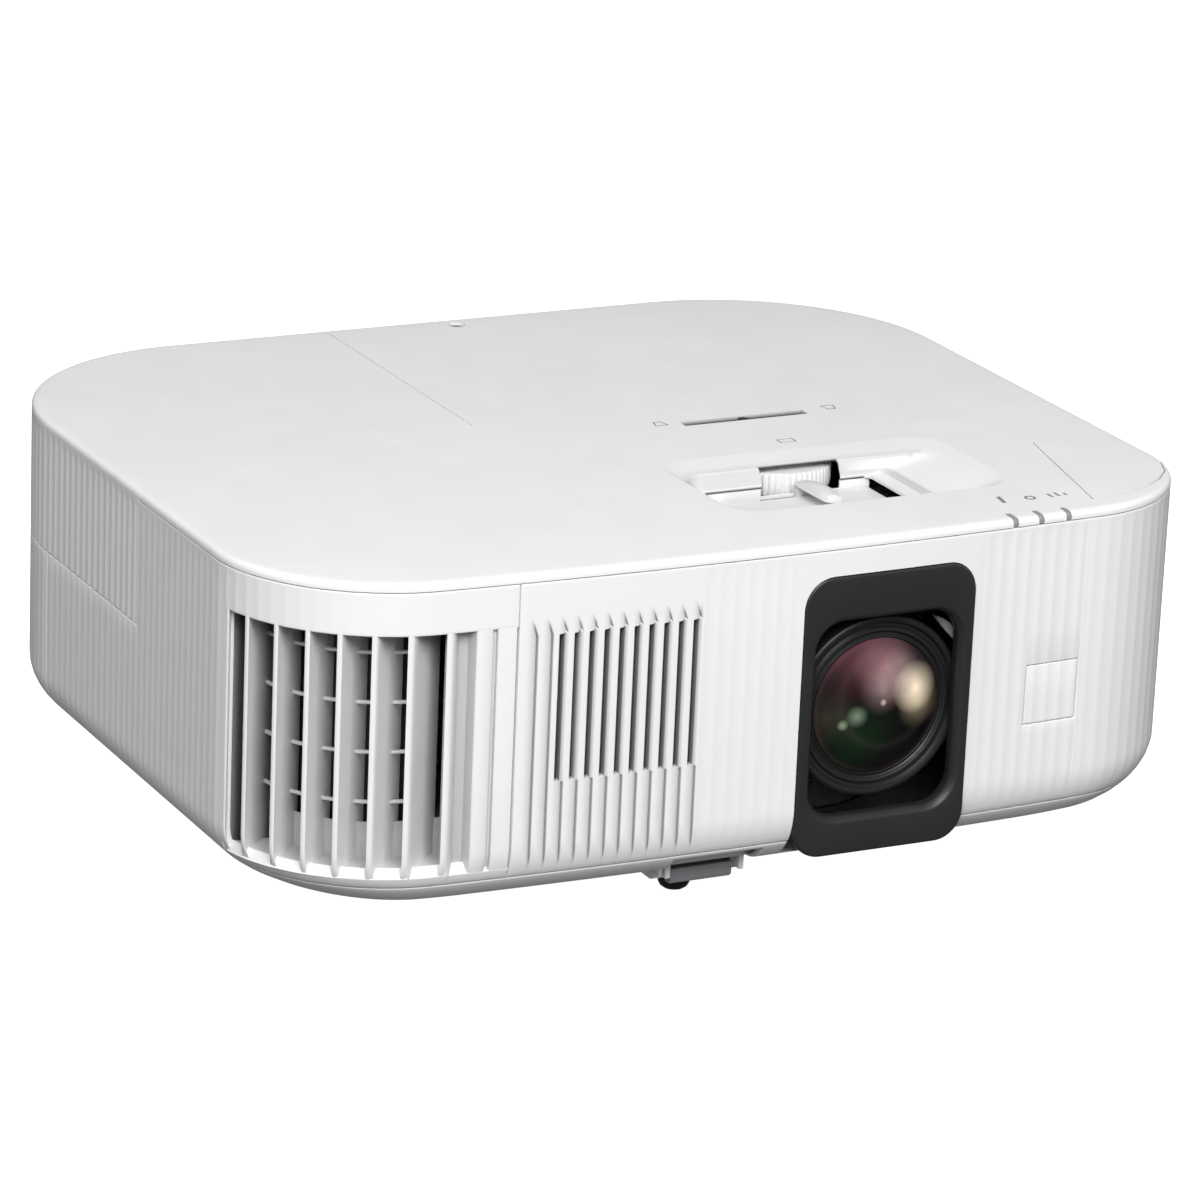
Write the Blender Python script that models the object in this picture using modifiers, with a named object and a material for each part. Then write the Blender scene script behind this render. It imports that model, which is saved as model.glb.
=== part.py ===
"""Home projector: a white case on three feet, a zoom lens behind a dark bezel, and what drives them.

The frame has +X to the viewer's right when facing the lens, -Y out of the front, +Z up. Its origin is
on the table, under the middle of the case. Sizes are in millimetres and become metres in the meshes.
"""
import math

import bmesh
import bpy
from mathutils import Matrix, Vector

MM = 0.001

# Driving dimensions
WIDTH = 333.0
DEPTH = 275.0
HEIGHT = 122.0
BASE_Z = 14.0              # underside of the case, above the table
CURVE_TOP_Z = 34.0         # where the upright wall starts to curve in towards the base
BASE_INSET = 16.0
FRONT_RADIUS = 52.5
REAR_RADIUS = 74.0
FRONT_BOW = 7.2            # how far the ends of the front face lie behind its middle
WALL = 2.6
TOP_PLATE = 2.8
SEAM_Z = 119.0             # split between the top cover and the walls
PAN_Z = 22.0               # split between the bottom pan and the front pieces
GAP = 0.3                  # clearance between touching pieces
PART_X = -88.2             # split between the exhaust corner and the front panel
COVER_X = -35.0            # lamp cover's inner edge
COVER_Z = 77.0             # lamp cover's lower edge on the side
COVER_SIDE_Y = -18.9       # lamp cover's front edge on the side
COVER_TOP_Y = 14.4         # lamp cover's front corner on the top
FAR = 240.0                # past every outer face, for cutters

LENS_X = 41.0
LENS_Z = 63.0
LENS_SHIFT = 8.0
BEZEL = (10.0, 72.5, 16.3, 110.0)          # low x, high x, low z, high z
BEZEL_HOLE = (15.5, 67.0, 29.0, 94.5)
BEZEL_BACK_Y = -132.3
RECEIVER = (93.5, 113.6, 51.2, 71.6)
SLOT_X0 = -73.7
SLOT_PITCH = 5.07
SLOT_COUNT = 10
SLOT_Z = (54.7, 101.5)
SLIDER_SLOT = (32.4, 78.7, -8.9, -3.5)     # low x, high x, low y, high y
SLIDER_TRAVEL = 18.0
LAMP_SLOTS_X = (88.5, 98.9, 109.8)
DISH_RIM = (3.0, 106.0, -102.0, -43.5)
DISH_FLOOR = (9.0, 84.0, -99.5, -59.0)
DISH_FLOOR_Z = 116.0
DISH_HOLE = (11.0, 73.0, -99.0, -60.0)
DIAL_AXIS = (49.0, -38.5)
DIAL_RADIUS = 20.0
FOOT_AXIS = (-16.0, -107.0)
REAR_FEET = {"left": (-118.0, 92.0), "right": (118.0, 92.0)}
FIN_COUNT = 9
FIN_START = 10.2           # along the wall from the rear end of the front left corner
FIN_PITCH = 10.7
VENT_REAR_Y = -84.0
VENT_Z = (30.0, 106.0)

WHITE = ("white_plastic", (0.86, 0.87, 0.87), 0.45, 0.0)
LIGHT_GREY = ("light_grey_plastic", (0.62, 0.63, 0.64), 0.5, 0.0)
MID_GREY = ("mid_grey_plastic", (0.28, 0.29, 0.30), 0.5, 0.0)
CHARCOAL = ("charcoal_plastic", (0.02, 0.02, 0.021), 0.42, 0.0)
BLACK = ("black_plastic", (0.012, 0.012, 0.013), 0.5, 0.0)
RUBBER = ("black_rubber", (0.015, 0.015, 0.015), 0.8, 0.0)
GLASS = ("coated_glass", (0.25, 0.16, 0.2), 0.03, 0.0)
STEEL = ("plated_steel", (0.6, 0.6, 0.58), 0.3, 1.0)
ALUMINIUM = ("cast_aluminium", (0.55, 0.55, 0.56), 0.45, 1.0)
BOARD = ("circuit_board", (0.02, 0.14, 0.06), 0.5, 0.0)
FOAM = ("filter_foam", (0.09, 0.09, 0.1), 0.95, 0.0)

for old in list(bpy.data.objects):
    bpy.data.objects.remove(old, do_unlink=True)
PARTS = bpy.data.collections.new("home_projector")
CUTTERS = bpy.data.collections.new("cutters")
for group in (PARTS, CUTTERS):
    bpy.context.scene.collection.children.link(group)


# ---------------------------------------------------------------- helpers

def material(look):
    name, colour, roughness, metallic = look
    found = bpy.data.materials.get(name)
    if found:
        return found
    made = bpy.data.materials.new(name)
    made.use_nodes = True
    shader = made.node_tree.nodes["Principled BSDF"]
    shader.inputs["Base Color"].default_value = (*colour, 1.0)
    shader.inputs["Roughness"].default_value = roughness
    shader.inputs["Metallic"].default_value = metallic
    return made


def place(mesh_maker, name, look=None, pivot=(0.0, 0.0, 0.0)):
    """Turn a bmesh drawn in millimetres into an object in metres with its origin at pivot."""
    bmesh.ops.recalc_face_normals(mesh_maker, faces=mesh_maker.faces)
    origin = Vector(pivot) * MM
    mesh_maker.transform(Matrix.Translation(-origin) @ Matrix.Scale(MM, 4))
    mesh = bpy.data.meshes.new(name)
    mesh_maker.to_mesh(mesh)
    mesh_maker.free()
    obj = bpy.data.objects.new(name, mesh)
    obj.location = origin
    if look:
        mesh.materials.append(material(look))
        PARTS.objects.link(obj)
    else:
        obj.hide_render = True
        obj.display_type = "WIRE"
        CUTTERS.objects.link(obj)
    return obj


def boolean(obj, other, operation):
    step = obj.modifiers.new(operation.lower(), "BOOLEAN")
    step.object = other
    step.operation = operation
    step.solver = "EXACT"
    return obj


def cut(obj, *others):
    for other in others:
        boolean(obj, other, "DIFFERENCE")
    return obj


def keep(obj, *others):
    for other in others:
        boolean(obj, other, "INTERSECT")
    return obj


def join(obj, *others):
    for other in others:
        boolean(obj, other, "UNION")
    return obj


def smooth(obj, angle=35.0):
    obj.data.shade_smooth()
    obj.data.set_sharp_from_angle(angle=math.radians(angle))
    return obj


def box(name, low, high, look=None, turn=None, pivot=(0.0, 0.0, 0.0)):
    """A block between two corners, turned about its own middle where turn is given."""
    draft = bmesh.new()
    bmesh.ops.create_cube(draft, size=1.0)
    size = [b - a for a, b in zip(low, high)]
    middle = Vector([(a + b) / 2 for a, b in zip(low, high)])
    draft.transform(Matrix.Diagonal((*size, 1.0)))
    if turn:
        draft.transform(turn)
    draft.transform(Matrix.Translation(middle))
    return place(draft, name, look, pivot)


def rounded(obj, radius, segments=2):
    """Round an object's edges; used on plain blocks and discs."""
    bevel = obj.modifiers.new("rounding", "BEVEL")
    bevel.width = radius * MM
    bevel.segments = segments
    bevel.limit_method = "ANGLE"
    bevel.angle_limit = math.radians(50.0)
    return obj


AXES = {"X": Matrix.Rotation(math.radians(90.0), 4, "Y"),
        "Y": Matrix.Rotation(math.radians(-90.0), 4, "X"),
        "Z": Matrix.Identity(4)}


def disc(name, centre, axis, radius, length, look=None, sides=24, tip=None, pivot=(0.0, 0.0, 0.0)):
    """A cylinder, or a cone where tip gives the radius at its +axis end, centred on centre."""
    draft = bmesh.new()
    end = radius if tip is None else tip
    bmesh.ops.create_cone(draft, cap_ends=True, segments=sides, radius1=radius, radius2=end, depth=length)
    draft.transform(Matrix.Translation(Vector(centre)) @ AXES[axis])
    return place(draft, name, look, pivot)


def turned(name, centre, profile, look=None, sides=32, pivot=None):
    """A ring or body turned about the lens direction from a closed (radius, y) profile."""
    draft = bmesh.new()
    rings = []
    for step in range(sides):
        angle = 2.0 * math.pi * step / sides
        rings.append([draft.verts.new((centre[0] + r * math.sin(angle), y, centre[1] + r * math.cos(angle)))
                      for r, y in profile])
    count = len(profile)
    for step in range(sides):
        here, after = rings[step], rings[(step + 1) % sides]
        for k in range(count):
            draft.faces.new((here[k], here[(k + 1) % count], after[(k + 1) % count], after[k]))
    bmesh.ops.remove_doubles(draft, verts=draft.verts, dist=1e-5)
    return place(draft, name, look, pivot or (centre[0], 0.0, centre[1]))


def loft(name, rings, look=None, pivot=(0.0, 0.0, 0.0)):
    """A closed solid through rings of equally many points."""
    draft = bmesh.new()
    loops = [[draft.verts.new(point) for point in ring] for ring in rings]
    count = len(loops[0])
    for lower, upper in zip(loops, loops[1:]):
        for k in range(count):
            draft.faces.new((lower[k], lower[(k + 1) % count], upper[(k + 1) % count], upper[k]))
    draft.faces.new(loops[0])
    draft.faces.new(loops[-1])
    return place(draft, name, look, pivot)


def prism(name, plan, low_z, high_z, look=None):
    return loft(name, [[(x, y, z) for x, y in plan] for z in (low_z, high_z)], look)


def rounded_plan(low_x, high_x, low_y, high_y, radius, steps=4):
    """Points round a rectangle with round corners, anticlockwise from the +X side."""
    corners = ((high_x - radius, high_y - radius, 0), (low_x + radius, high_y - radius, 90),
               (low_x + radius, low_y + radius, 180), (high_x - radius, low_y + radius, 270))
    plan = []
    for x, y, start in corners:
        for step in range(steps + 1):
            angle = math.radians(start + 90.0 * step / steps)
            plan.append((x + radius * math.cos(angle), y + radius * math.sin(angle)))
    return plan


def bow(x):
    """How far the front face lies behind its middle at x."""
    return FRONT_BOW * (x / (WIDTH / 2)) ** 2


def case_plan(inset):
    """The case seen from above, with its walls moved in by inset."""
    half_w, half_d = WIDTH / 2, DEPTH / 2
    plan = []
    corners = ((half_w, half_d, REAR_RADIUS, 0), (-half_w, half_d, REAR_RADIUS, 90),
               (-half_w, -half_d, FRONT_RADIUS, 180), (half_w, -half_d, FRONT_RADIUS, 270))
    for x, y, radius, start in corners:
        centre_x, centre_y = x - math.copysign(radius, x), y - math.copysign(radius, y)
        for step in range(9):
            angle = math.radians(start + 90.0 * step / 8)
            reach = radius - inset
            plan.append((centre_x + reach * math.cos(angle), centre_y + reach * math.sin(angle)))
        if start == 180:
            front_x = [centre_x + (half_w - FRONT_RADIUS) * 2 * k / 8 for k in range(1, 8)]
            plan += [(x_between, -half_d + inset) for x_between in front_x]
    return [(x, y + bow(x) * max(0.0, -y / half_d)) for x, y in plan]


def case_solid(name, inset, low_z, high_z):
    """The case's outer form moved in by inset, curved in towards the base."""
    rings = []
    for step in range(5):
        angle = math.pi / 2 * (1 - step / 4)
        curl = BASE_INSET * (1 - math.cos(angle))
        z = CURVE_TOP_Z - (CURVE_TOP_Z - low_z) * math.sin(angle)
        rings.append([(x, y, z) for x, y in case_plan(inset + curl)])
    rings.append([(x, y, high_z) for x, y in case_plan(inset)])
    return loft(name, rings)


def band(name, outer_inset, inner_inset, low_z, high_z, look=None):
    """An upright strip that follows the case's wall between two insets."""
    solid = prism(name, case_plan(outer_inset), low_z, high_z, look)
    return cut(solid, prism(name + "_core", case_plan(inner_inset), low_z - 5, high_z + 5))


def slab(name, low_x, high_x, low_y, high_y, low_z, high_z):
    return box(name, (low_x, low_y, low_z), (high_x, high_y, high_z))


# ---------------------------------------------------------------- regions that split the case

def lamp_region(name, margin):
    """The rear left quarter of the top and its wall; margin shrinks it."""
    plan = [(COVER_X - margin, FAR), (-FAR, FAR), (-FAR, COVER_SIDE_Y + margin),
            (-WIDTH / 2, COVER_SIDE_Y + margin), (COVER_X - margin, COVER_TOP_Y + margin)]
    return prism(name, plan, COVER_Z + margin, HEIGHT + 10)


def left_region(name, margin):
    plan = [(PART_X - margin, -FAR), (PART_X - margin, -100.0), (-140.0, -60.0),
            (-140.0, 62.0 - margin), (-FAR, 62.0 - margin), (-FAR, -FAR)]
    return prism(name, plan, PAN_Z + margin, HEIGHT + 10)


def front_region(name, margin):
    plan = [(PART_X, -FAR), (FAR, -FAR), (FAR, -62.0 - margin), (150.0, -62.0 - margin),
            (100.0, -100.0), (PART_X, -100.0)]
    return prism(name, plan, PAN_Z + margin, HEIGHT + 10)


def above_seam(name):
    return slab(name, -FAR, FAR, -FAR, FAR, SEAM_Z - GAP / 2, HEIGHT + 20)


def shell(name, look):
    """The whole hollow case, from which each casing piece is cut."""
    solid = case_solid(name, 0.0, BASE_Z, HEIGHT)
    CUTTERS.objects.unlink(solid)
    PARTS.objects.link(solid)
    solid.hide_render = False
    solid.display_type = "TEXTURED"
    solid.data.materials.append(material(look))
    return cut(solid, case_solid(name + "_hollow", WALL, BASE_Z + WALL, HEIGHT - TOP_PLATE))


def bezel_notch(name, margin, back_y):
    low_x, high_x, _, high_z = BEZEL
    plan = rounded_plan(low_x - margin, high_x + margin, 0.0, high_z + margin, 10.0)
    return loft(name, [[(x, y, z) for x, z in plan] for y in (-FAR, back_y)])


# ---------------------------------------------------------------- casing

def make_lower_case():
    pan = shell("lower_case", WHITE)
    cut(pan, above_seam("pan_top"), left_region("pan_left", 0.0), front_region("pan_front", 0.0),
        lamp_region("pan_lamp", 0.0), bezel_notch("pan_bezel", GAP, BEZEL_BACK_Y + 5.0))
    cut(pan, slab("pan_terminals", -20.0, 92.0, 120.0, FAR, 26.0, 74.0),
        slab("pan_controls", -14.0, 86.0, 120.0, FAR, 82.0, 112.0),
        slab("pan_inlet", -75.0, -47.0, 120.0, FAR, 28.0, 50.0),
        slab("pan_filter", 150.0, FAR, -44.0, 44.0, 32.0, 102.0))
    x, y = FOOT_AXIS
    cut(pan, slab("pan_foot", x - 14, x + 18, y - 13, y + 10, 5.0, 30.0))
    for side, (foot_x, foot_y) in REAR_FEET.items():
        boss = disc("boss_" + side, (foot_x, foot_y, BASE_Z + 7.5), "Z", 8.0, 13.0, sides=16)
        join(pan, boss)
        cut(pan, disc("boss_hole_" + side, (foot_x, foot_y, BASE_Z + 8), "Z", 4.4, 40.0, sides=16))
    return pan


def make_left_panel():
    panel = keep(shell("left_panel", WHITE), left_region("left_keep", GAP))
    cut(panel, above_seam("left_top"), lamp_region("left_lamp", 0.0),
        vent_window("left_vent", 0.0, PART_X + 8.0))
    return panel


def vent_window(name, margin, front_x):
    """The opening for the exhaust grille, round the front left corner as far as front_x."""
    rear_y = VENT_REAR_Y - margin
    plan = [(-FAR, rear_y), (-FAR, -FAR), (front_x, -FAR), (front_x, -100.0), (-140.0, rear_y)]
    return prism(name, plan, VENT_Z[0] + margin, VENT_Z[1] - margin)


def wall_point(length):
    """The point on the outer wall at a distance along it from the front left corner's rear end."""
    half_w, half_d = WIDTH / 2, DEPTH / 2
    arc = FRONT_RADIUS * math.pi / 2
    if length < 0:
        x, y = -half_w, -half_d + FRONT_RADIUS - length
    elif length < arc:
        angle = math.pi + length / FRONT_RADIUS
        x = -half_w + FRONT_RADIUS + FRONT_RADIUS * math.cos(angle)
        y = -half_d + FRONT_RADIUS + FRONT_RADIUS * math.sin(angle)
    else:
        x, y = -half_w + FRONT_RADIUS + length - arc, -half_d
    return x, y + bow(x) * max(0.0, -y / half_d)


def make_exhaust_grille():
    """Upright fins, all at 45 degrees so the hot air leaves to the left of the picture."""
    grille = keep(band("exhaust_grille", 0.0, WALL, *VENT_Z, WHITE),
                  vent_window("grille_edge", GAP, PART_X - GAP))
    cut(grille, vent_window("grille_hole", 3.5, PART_X - 3.5))
    fin_band = band("fin_band", 0.02, 13.0, VENT_Z[0] + 1.5, VENT_Z[1] - 1.5)
    for index in range(FIN_COUNT):
        x, y = wall_point(FIN_START + FIN_PITCH * index)
        fin = box("fin_%d" % index, (x - 22, y - 0.8, VENT_Z[0] - 9), (x + 22, y + 0.8, VENT_Z[1] + 9),
                  turn=Matrix.Rotation(math.radians(45.0), 4, "Z"))
        join(grille, keep(fin, fin_band))
    return grille


def make_exhaust_louver():
    """A dark curved grid of level bars behind the fins, so fingers can't reach the fan."""
    louver = band("exhaust_louver", 15.5, 17.0, 31.0, 105.0, CHARCOAL)
    keep(louver, prism("louver_end", [(-FAR, -86.0), (-FAR, -FAR), (-86.0, -FAR), (-86.0, -86.0)], 0.0, FAR))
    rows = 5
    pitch = 72.0 / rows
    for row in range(rows):
        low = 33.0 + row * pitch
        cut(louver, prism("louver_gap_%d" % row,
                          [(-FAR, -90.0), (-FAR, -FAR), (-92.0, -FAR), (-92.0, -90.0)], low, low + pitch - 2.4))
    return louver


def make_front_panel():
    panel = keep(shell("front_panel", WHITE), front_region("front_keep", GAP))
    cut(panel, above_seam("front_top"), bezel_notch("front_bezel", GAP, -100.0))
    for index in range(SLOT_COUNT):
        x = SLOT_X0 + index * SLOT_PITCH
        cut(panel, slab("slot_%d" % index, x - 1.2, x + 1.2, -150.0, -120.0, *SLOT_Z))
    low_x, high_x, low_z, high_z = RECEIVER
    cut(panel, slab("receiver_hole", low_x, high_x, -150.0, -120.0, low_z, high_z))
    return panel


def dish_rings(floor, rim):
    """The control recess, from floor to rim, with a coved wall."""
    rings = []
    for share, z in ((0.0, DISH_FLOOR_Z), (0.28, DISH_FLOOR_Z + 0.7), (0.62, DISH_FLOOR_Z + 2.4),
                     (1.0, HEIGHT + 0.01)):
        sides = [a + (b - a) * share for a, b in zip(floor, rim)]
        rings.append([(x, y, z) for x, y in rounded_plan(*sides, 5.0 + 7.0 * share)])
    last = rings[-1]
    rings.append([(x, y, HEIGHT + 8.0) for x, y, _ in last])
    return rings


def make_upper_case():
    top = prism("upper_case", case_plan(0.0), SEAM_Z + GAP / 2, HEIGHT, WHITE)
    low_x, high_x, low_y, high_y = DISH_RIM
    join(top, prism("dish_tub", rounded_plan(low_x - 2, high_x + 2, low_y - 2, high_y + 2, 12.0),
                    DISH_FLOOR_Z - 2.0, SEAM_Z + 1.0))
    cut(top, lamp_region("top_lamp", 0.0), loft("dish", dish_rings(DISH_FLOOR, DISH_RIM)))
    cut(top, slab("dish_hole", *DISH_HOLE, 100.0, 130.0))
    x, y = DIAL_AXIS
    cut(top, disc("dial_pocket", (x, y, 110.0), "Z", DIAL_RADIUS + 0.8, 21.6, sides=32))
    cut(top, slab("dial_notch", x - 14.6, x + 14.6, -62.0, -51.0, 100.0, 130.0))
    low_x, high_x, low_y, high_y = SLIDER_SLOT
    cut(top, slab("slider_slot", low_x, high_x, low_y, high_y, 110.0, 130.0))
    for index, lamp_x in enumerate(LAMP_SLOTS_X):
        cut(top, slab("pipe_slot_%d" % index, lamp_x - 1.3, lamp_x + 1.3, -150.0, -127.0, 110.0, 130.0))
    cut(top, disc("top_screw_hole", (12.4, 129.5, 123.0), "Z", 3.2, 6.0, sides=16))
    return top


def make_lamp_cover():
    cover = keep(shell("lamp_cover", WHITE), lamp_region("cover_keep", GAP))
    cut(cover, disc("cover_screw_hole", (-WIDTH / 2, 62.0, 85.5), "X", 4.2, 12.0, sides=20))
    return cover


def make_bezel():
    low_x, high_x, low_z, high_z = BEZEL
    plan = rounded_plan(low_x, high_x, low_z, high_z, 10.0, 5)
    bezel = loft("lens_bezel", [[(x, y, z) for x, z in plan] for y in (-DEPTH / 2, BEZEL_BACK_Y)], CHARCOAL)
    join(bezel, slab("bezel_foot", low_x + 0.4, high_x - 0.4, -134.0, BEZEL_BACK_Y + 4.6, low_z + 0.6, 24.0))
    hole = BEZEL_HOLE
    rings = []
    for y, grow in ((-145.0, 1.2), (-DEPTH / 2 - 0.01, 1.2), (-135.5, 0.0), (-120.0, 0.0)):
        sides = (hole[0] - grow, hole[1] + grow, hole[2] - grow, hole[3] + grow)
        rings.append([(x, y, z) for x, z in rounded_plan(*sides, 10.0 + grow, 5)])
    return cut(bezel, loft("bezel_hole", rings))


def make_receiver_window():
    low_x, high_x, low_z, high_z = RECEIVER
    face = -DEPTH / 2 + bow((low_x + high_x) / 2)
    return box("receiver_window", (low_x + GAP, face + 0.1, low_z + GAP),
               (high_x - GAP, face + 2.3, high_z - GAP), WHITE)


# ---------------------------------------------------------------- rear and side fittings

REAR = DEPTH / 2
PORTS = {  # name: low x, high x, low z, high z of the socket's shell, seen from behind
    "hdmi_port_1": (60.0, 77.0, 33.0, 41.0),
    "hdmi_port_2": (36.0, 53.0, 33.0, 41.0),
    "usb_port": (14.0, 29.0, 33.0, 42.0),
}
BUTTONS = {  # name: centre x, centre z, half width, half height
    "power_button": (74.0, 97.0, 5.0, 5.0),
    "source_button": (60.0, 97.0, 4.0, 4.0),
    "menu_button": (4.0, 104.0, 4.5, 3.0),
    "escape_button": (4.0, 90.0, 4.5, 3.0),
    "enter_button": (32.0, 97.0, 4.2, 4.2),
    "up_button": (32.0, 105.6, 4.2, 3.2),
    "down_button": (32.0, 88.4, 4.2, 3.2),
    "left_button": (42.6, 97.0, 5.0, 3.4),
    "right_button": (21.4, 97.0, 5.0, 3.4),
}
PANEL_BACK = REAR - 6.0


def make_terminal_panel():
    panel = box("terminal_panel", (-20 + GAP, PANEL_BACK, 26 + GAP), (92 - GAP, REAR - 3.6, 74 - GAP), CHARCOAL)
    for name, (low_x, high_x, low_z, high_z) in PORTS.items():
        cut(panel, slab(name + "_hole", low_x - GAP, high_x + GAP, 120, 150, low_z - GAP, high_z + GAP))
    cut(panel, disc("jack_hole", (80.0, REAR, 58.0), "Y", 4.2 + GAP, 30.0, sides=20))
    return panel


def make_port(name, low_x, high_x, low_z, high_z):
    """A metal socket shell, open at the back of the projector, with a contact tongue."""
    skin = 0.9
    port = box(name, (low_x, REAR - 20, low_z), (high_x, REAR - 3.0, high_z), STEEL)
    cut(port, slab(name + "_mouth", low_x + skin, high_x - skin, REAR - 16, REAR, low_z + skin, high_z - skin))
    return port


def make_audio_jack():
    jack = disc("audio_jack", (80.0, REAR - 11.0, 58.0), "Y", 4.2, 16.0, BLACK, sides=20)
    return cut(jack, disc("jack_bore", (80.0, REAR - 8.0, 58.0), "Y", 1.8, 18.0, sides=12))


def make_power_inlet():
    inlet = box("power_inlet", (-75 + GAP, REAR - 22, 28 + GAP), (-47 - GAP, REAR - 2.2, 50 - GAP), BLACK)
    cut(inlet, slab("inlet_mouth", -73, -49, REAR - 18, REAR, 30.5, 47.5))
    for offset in (-5.5, 5.5):
        x = -61.0 + offset
        join(inlet, slab("inlet_blade_%+d" % offset, x - 1.0, x + 1.0, REAR - 20, REAR - 6, 38, 42))
    return inlet


def make_control_panel():
    panel = box("control_panel", (-14 + GAP, PANEL_BACK, 82 + GAP), (86 - GAP, REAR - 3.0, 112 - GAP), LIGHT_GREY)
    for name, (x, z, half_w, half_h) in BUTTONS.items():
        cut(panel, slab(name + "_hole", x - half_w - GAP, x + half_w + GAP, 120, 150,
                        z - half_h - GAP, z + half_h + GAP))
    return panel


def make_button(name, x, z, half_w, half_h):
    return box(name, (x - half_w, PANEL_BACK - 1.0, z - half_h), (x + half_w, REAR - 1.8, z + half_h), WHITE,
               pivot=(x, REAR, z))


def make_filter_cover():
    side = WIDTH / 2
    cover = box("filter_cover", (side - 2.4, -44 + GAP, 32 + GAP), (side - 0.1, 44 - GAP, 102 - GAP), WHITE,
                pivot=(side, 0.0, 32.0))
    for row in range(9):
        low = 39.0 + row * 6.4
        cut(cover, slab("cover_slot_%d" % row, side - 9, side + 9, -38, 38, low, low + 3.0))
    return cover


def make_air_filter():
    side = WIDTH / 2
    frame = box("air_filter", (side - 12, -46, 30), (side - 5, 46, 104), FOAM)
    for index in range(6):
        low = -41.0 + index * 14.0
        cut(frame, slab("pleat_%d" % index, side - 8, side, low, low + 12.0, 34, 100))
    return frame


# ---------------------------------------------------------------- lens and controls

def make_lens_barrel():
    profile = [(25.0, -131.5), (30.2, -131.5), (30.2, -110.0), (33.0, -110.0), (33.0, -101.0), (29.0, -101.0),
               (29.0, -62.0), (25.0, -62.0), (25.0, -50.5), (19.0, -50.5), (19.0, -90.0), (22.0, -96.0),
               (22.0, -126.0)]
    return smooth(turned("lens_barrel", (LENS_X, LENS_Z), profile, BLACK, 28))


def make_glass(name, front_y, rim, bulge, thick):
    """A round lens, domed by bulge towards the front."""
    profile = [(0.0, front_y - bulge)]
    for step in range(1, 5):
        share = step / 4
        profile.append((rim * share, front_y - bulge * (1 - share ** 2)))
    profile += [(rim, front_y + thick), (0.0, front_y + thick)]
    draft = bmesh.new()
    points = [draft.verts.new((LENS_X + r, y, LENS_Z)) for r, y in profile]
    edges = [draft.edges.new(pair) for pair in zip(points, points[1:])]
    bmesh.ops.spin(draft, geom=points + edges, cent=(LENS_X, 0.0, LENS_Z), axis=(0.0, 1.0, 0.0),
                   angle=2.0 * math.pi, steps=28, use_merge=True)
    bmesh.ops.remove_doubles(draft, verts=draft.verts, dist=1e-4)
    return smooth(place(draft, name, GLASS, (LENS_X, 0.0, LENS_Z)), 60)


def sector(name, inner, outer, low_y, high_y, middle_deg, half_deg, look=None, steps=6):
    """Part of a ring round the lens, centred on an angle from straight up towards +X."""
    rings = []
    for step in range(steps + 1):
        angle = math.radians(middle_deg - half_deg + 2 * half_deg * step / steps)
        corners = ((inner, low_y), (outer, low_y), (outer, high_y), (inner, high_y))
        rings.append([(LENS_X + r * math.sin(angle), y, LENS_Z + r * math.cos(angle)) for r, y in corners])
    return loft(name, rings, look)


def make_focus_ring():
    ring = turned("focus_ring", (LENS_X, LENS_Z), [(29.5, -99.0), (36.0, -99.0), (36.0, -88.0), (29.5, -88.0)],
                  LIGHT_GREY, 28)
    return join(ring, sector("focus_grip", 34.0, 50.0, -98.5, -88.5, 0.0, 24.0))


def make_zoom_ring():
    ring = turned("zoom_ring", (LENS_X, LENS_Z), [(29.5, -85.0), (35.0, -85.0), (35.0, -60.5), (29.5, -60.5)],
                  LIGHT_GREY, 28)
    stem = sector("zoom_stem", 33.0, 58.0, -64.4, -61.0, 9.0, 3.2, steps=1)
    lever = sector("zoom_lever", 56.0, 59.0, -83.0, -60.8, 9.0, 3.3, steps=1)
    return join(ring, stem, lever)


def make_lens_top_cover():
    """A plate just under the control recess, carried by the barrel between the two rings."""
    plate = box("lens_top_cover", (12.0, -87.3, 113.2), (72.0, -65.2, 114.6), LIGHT_GREY)
    return join(plate, slab("cover_leg", 26.0, 56.0, -87.3, -85.7, 92.0, 114.0))


def make_lens_carriage():
    """The plate that carries the barrel and slides up and down, with the nut for the shift screw."""
    plate = box("lens_carriage", (0.0, -50.0, 33.5), (82.0, -46.5, 98.0), ALUMINIUM)
    cut(plate, disc("carriage_hole", (LENS_X, -48.0, LENS_Z), "Y", 18.0, 20.0, sides=28))
    join(plate, slab("carriage_nut", DIAL_AXIS[0] - 6, DIAL_AXIS[0] + 6, -47.5, -33.5, 84.0, 92.0))
    return cut(plate, disc("carriage_nut_bore", (*DIAL_AXIS, 88.0), "Z", 3.0, 30.0, sides=16))


def make_shift_guide():
    """The fixed frame the carriage slides in: two upright channels joined across the bottom."""
    guide = box("shift_guide", (-6.0, -56.0, 17.0), (88.0, -41.0, 24.5), ALUMINIUM)
    for side, low_x, high_x, inner_x in (("left", -6.0, 6.0, -2.0), ("right", 76.0, 88.0, 84.0)):
        join(guide, slab("guide_" + side, low_x, high_x, -56.0, -41.0, 18.0, 108.0))
        groove = sorted((inner_x - math.copysign(1.2, LENS_X - inner_x), LENS_X))
        cut(guide, slab("groove_" + side, groove[0], groove[1], -50.4, -46.1, 18.5 + 7.0, 120.0))
    return guide


def make_shift_dial():
    x, y = DIAL_AXIS
    dial = disc("lens_shift_dial", (x, y, 116.0), "Z", DIAL_RADIUS, 9.0, LIGHT_GREY, 40, pivot=(x, y, 116.0))
    return rounded(dial, 0.6, 1)


def make_shift_screw():
    x, y = DIAL_AXIS
    return disc("lens_shift_screw", (x, y, 80.5), "Z", 2.6, 61.4, STEEL, 12, pivot=(x, y, 80.5))


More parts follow.
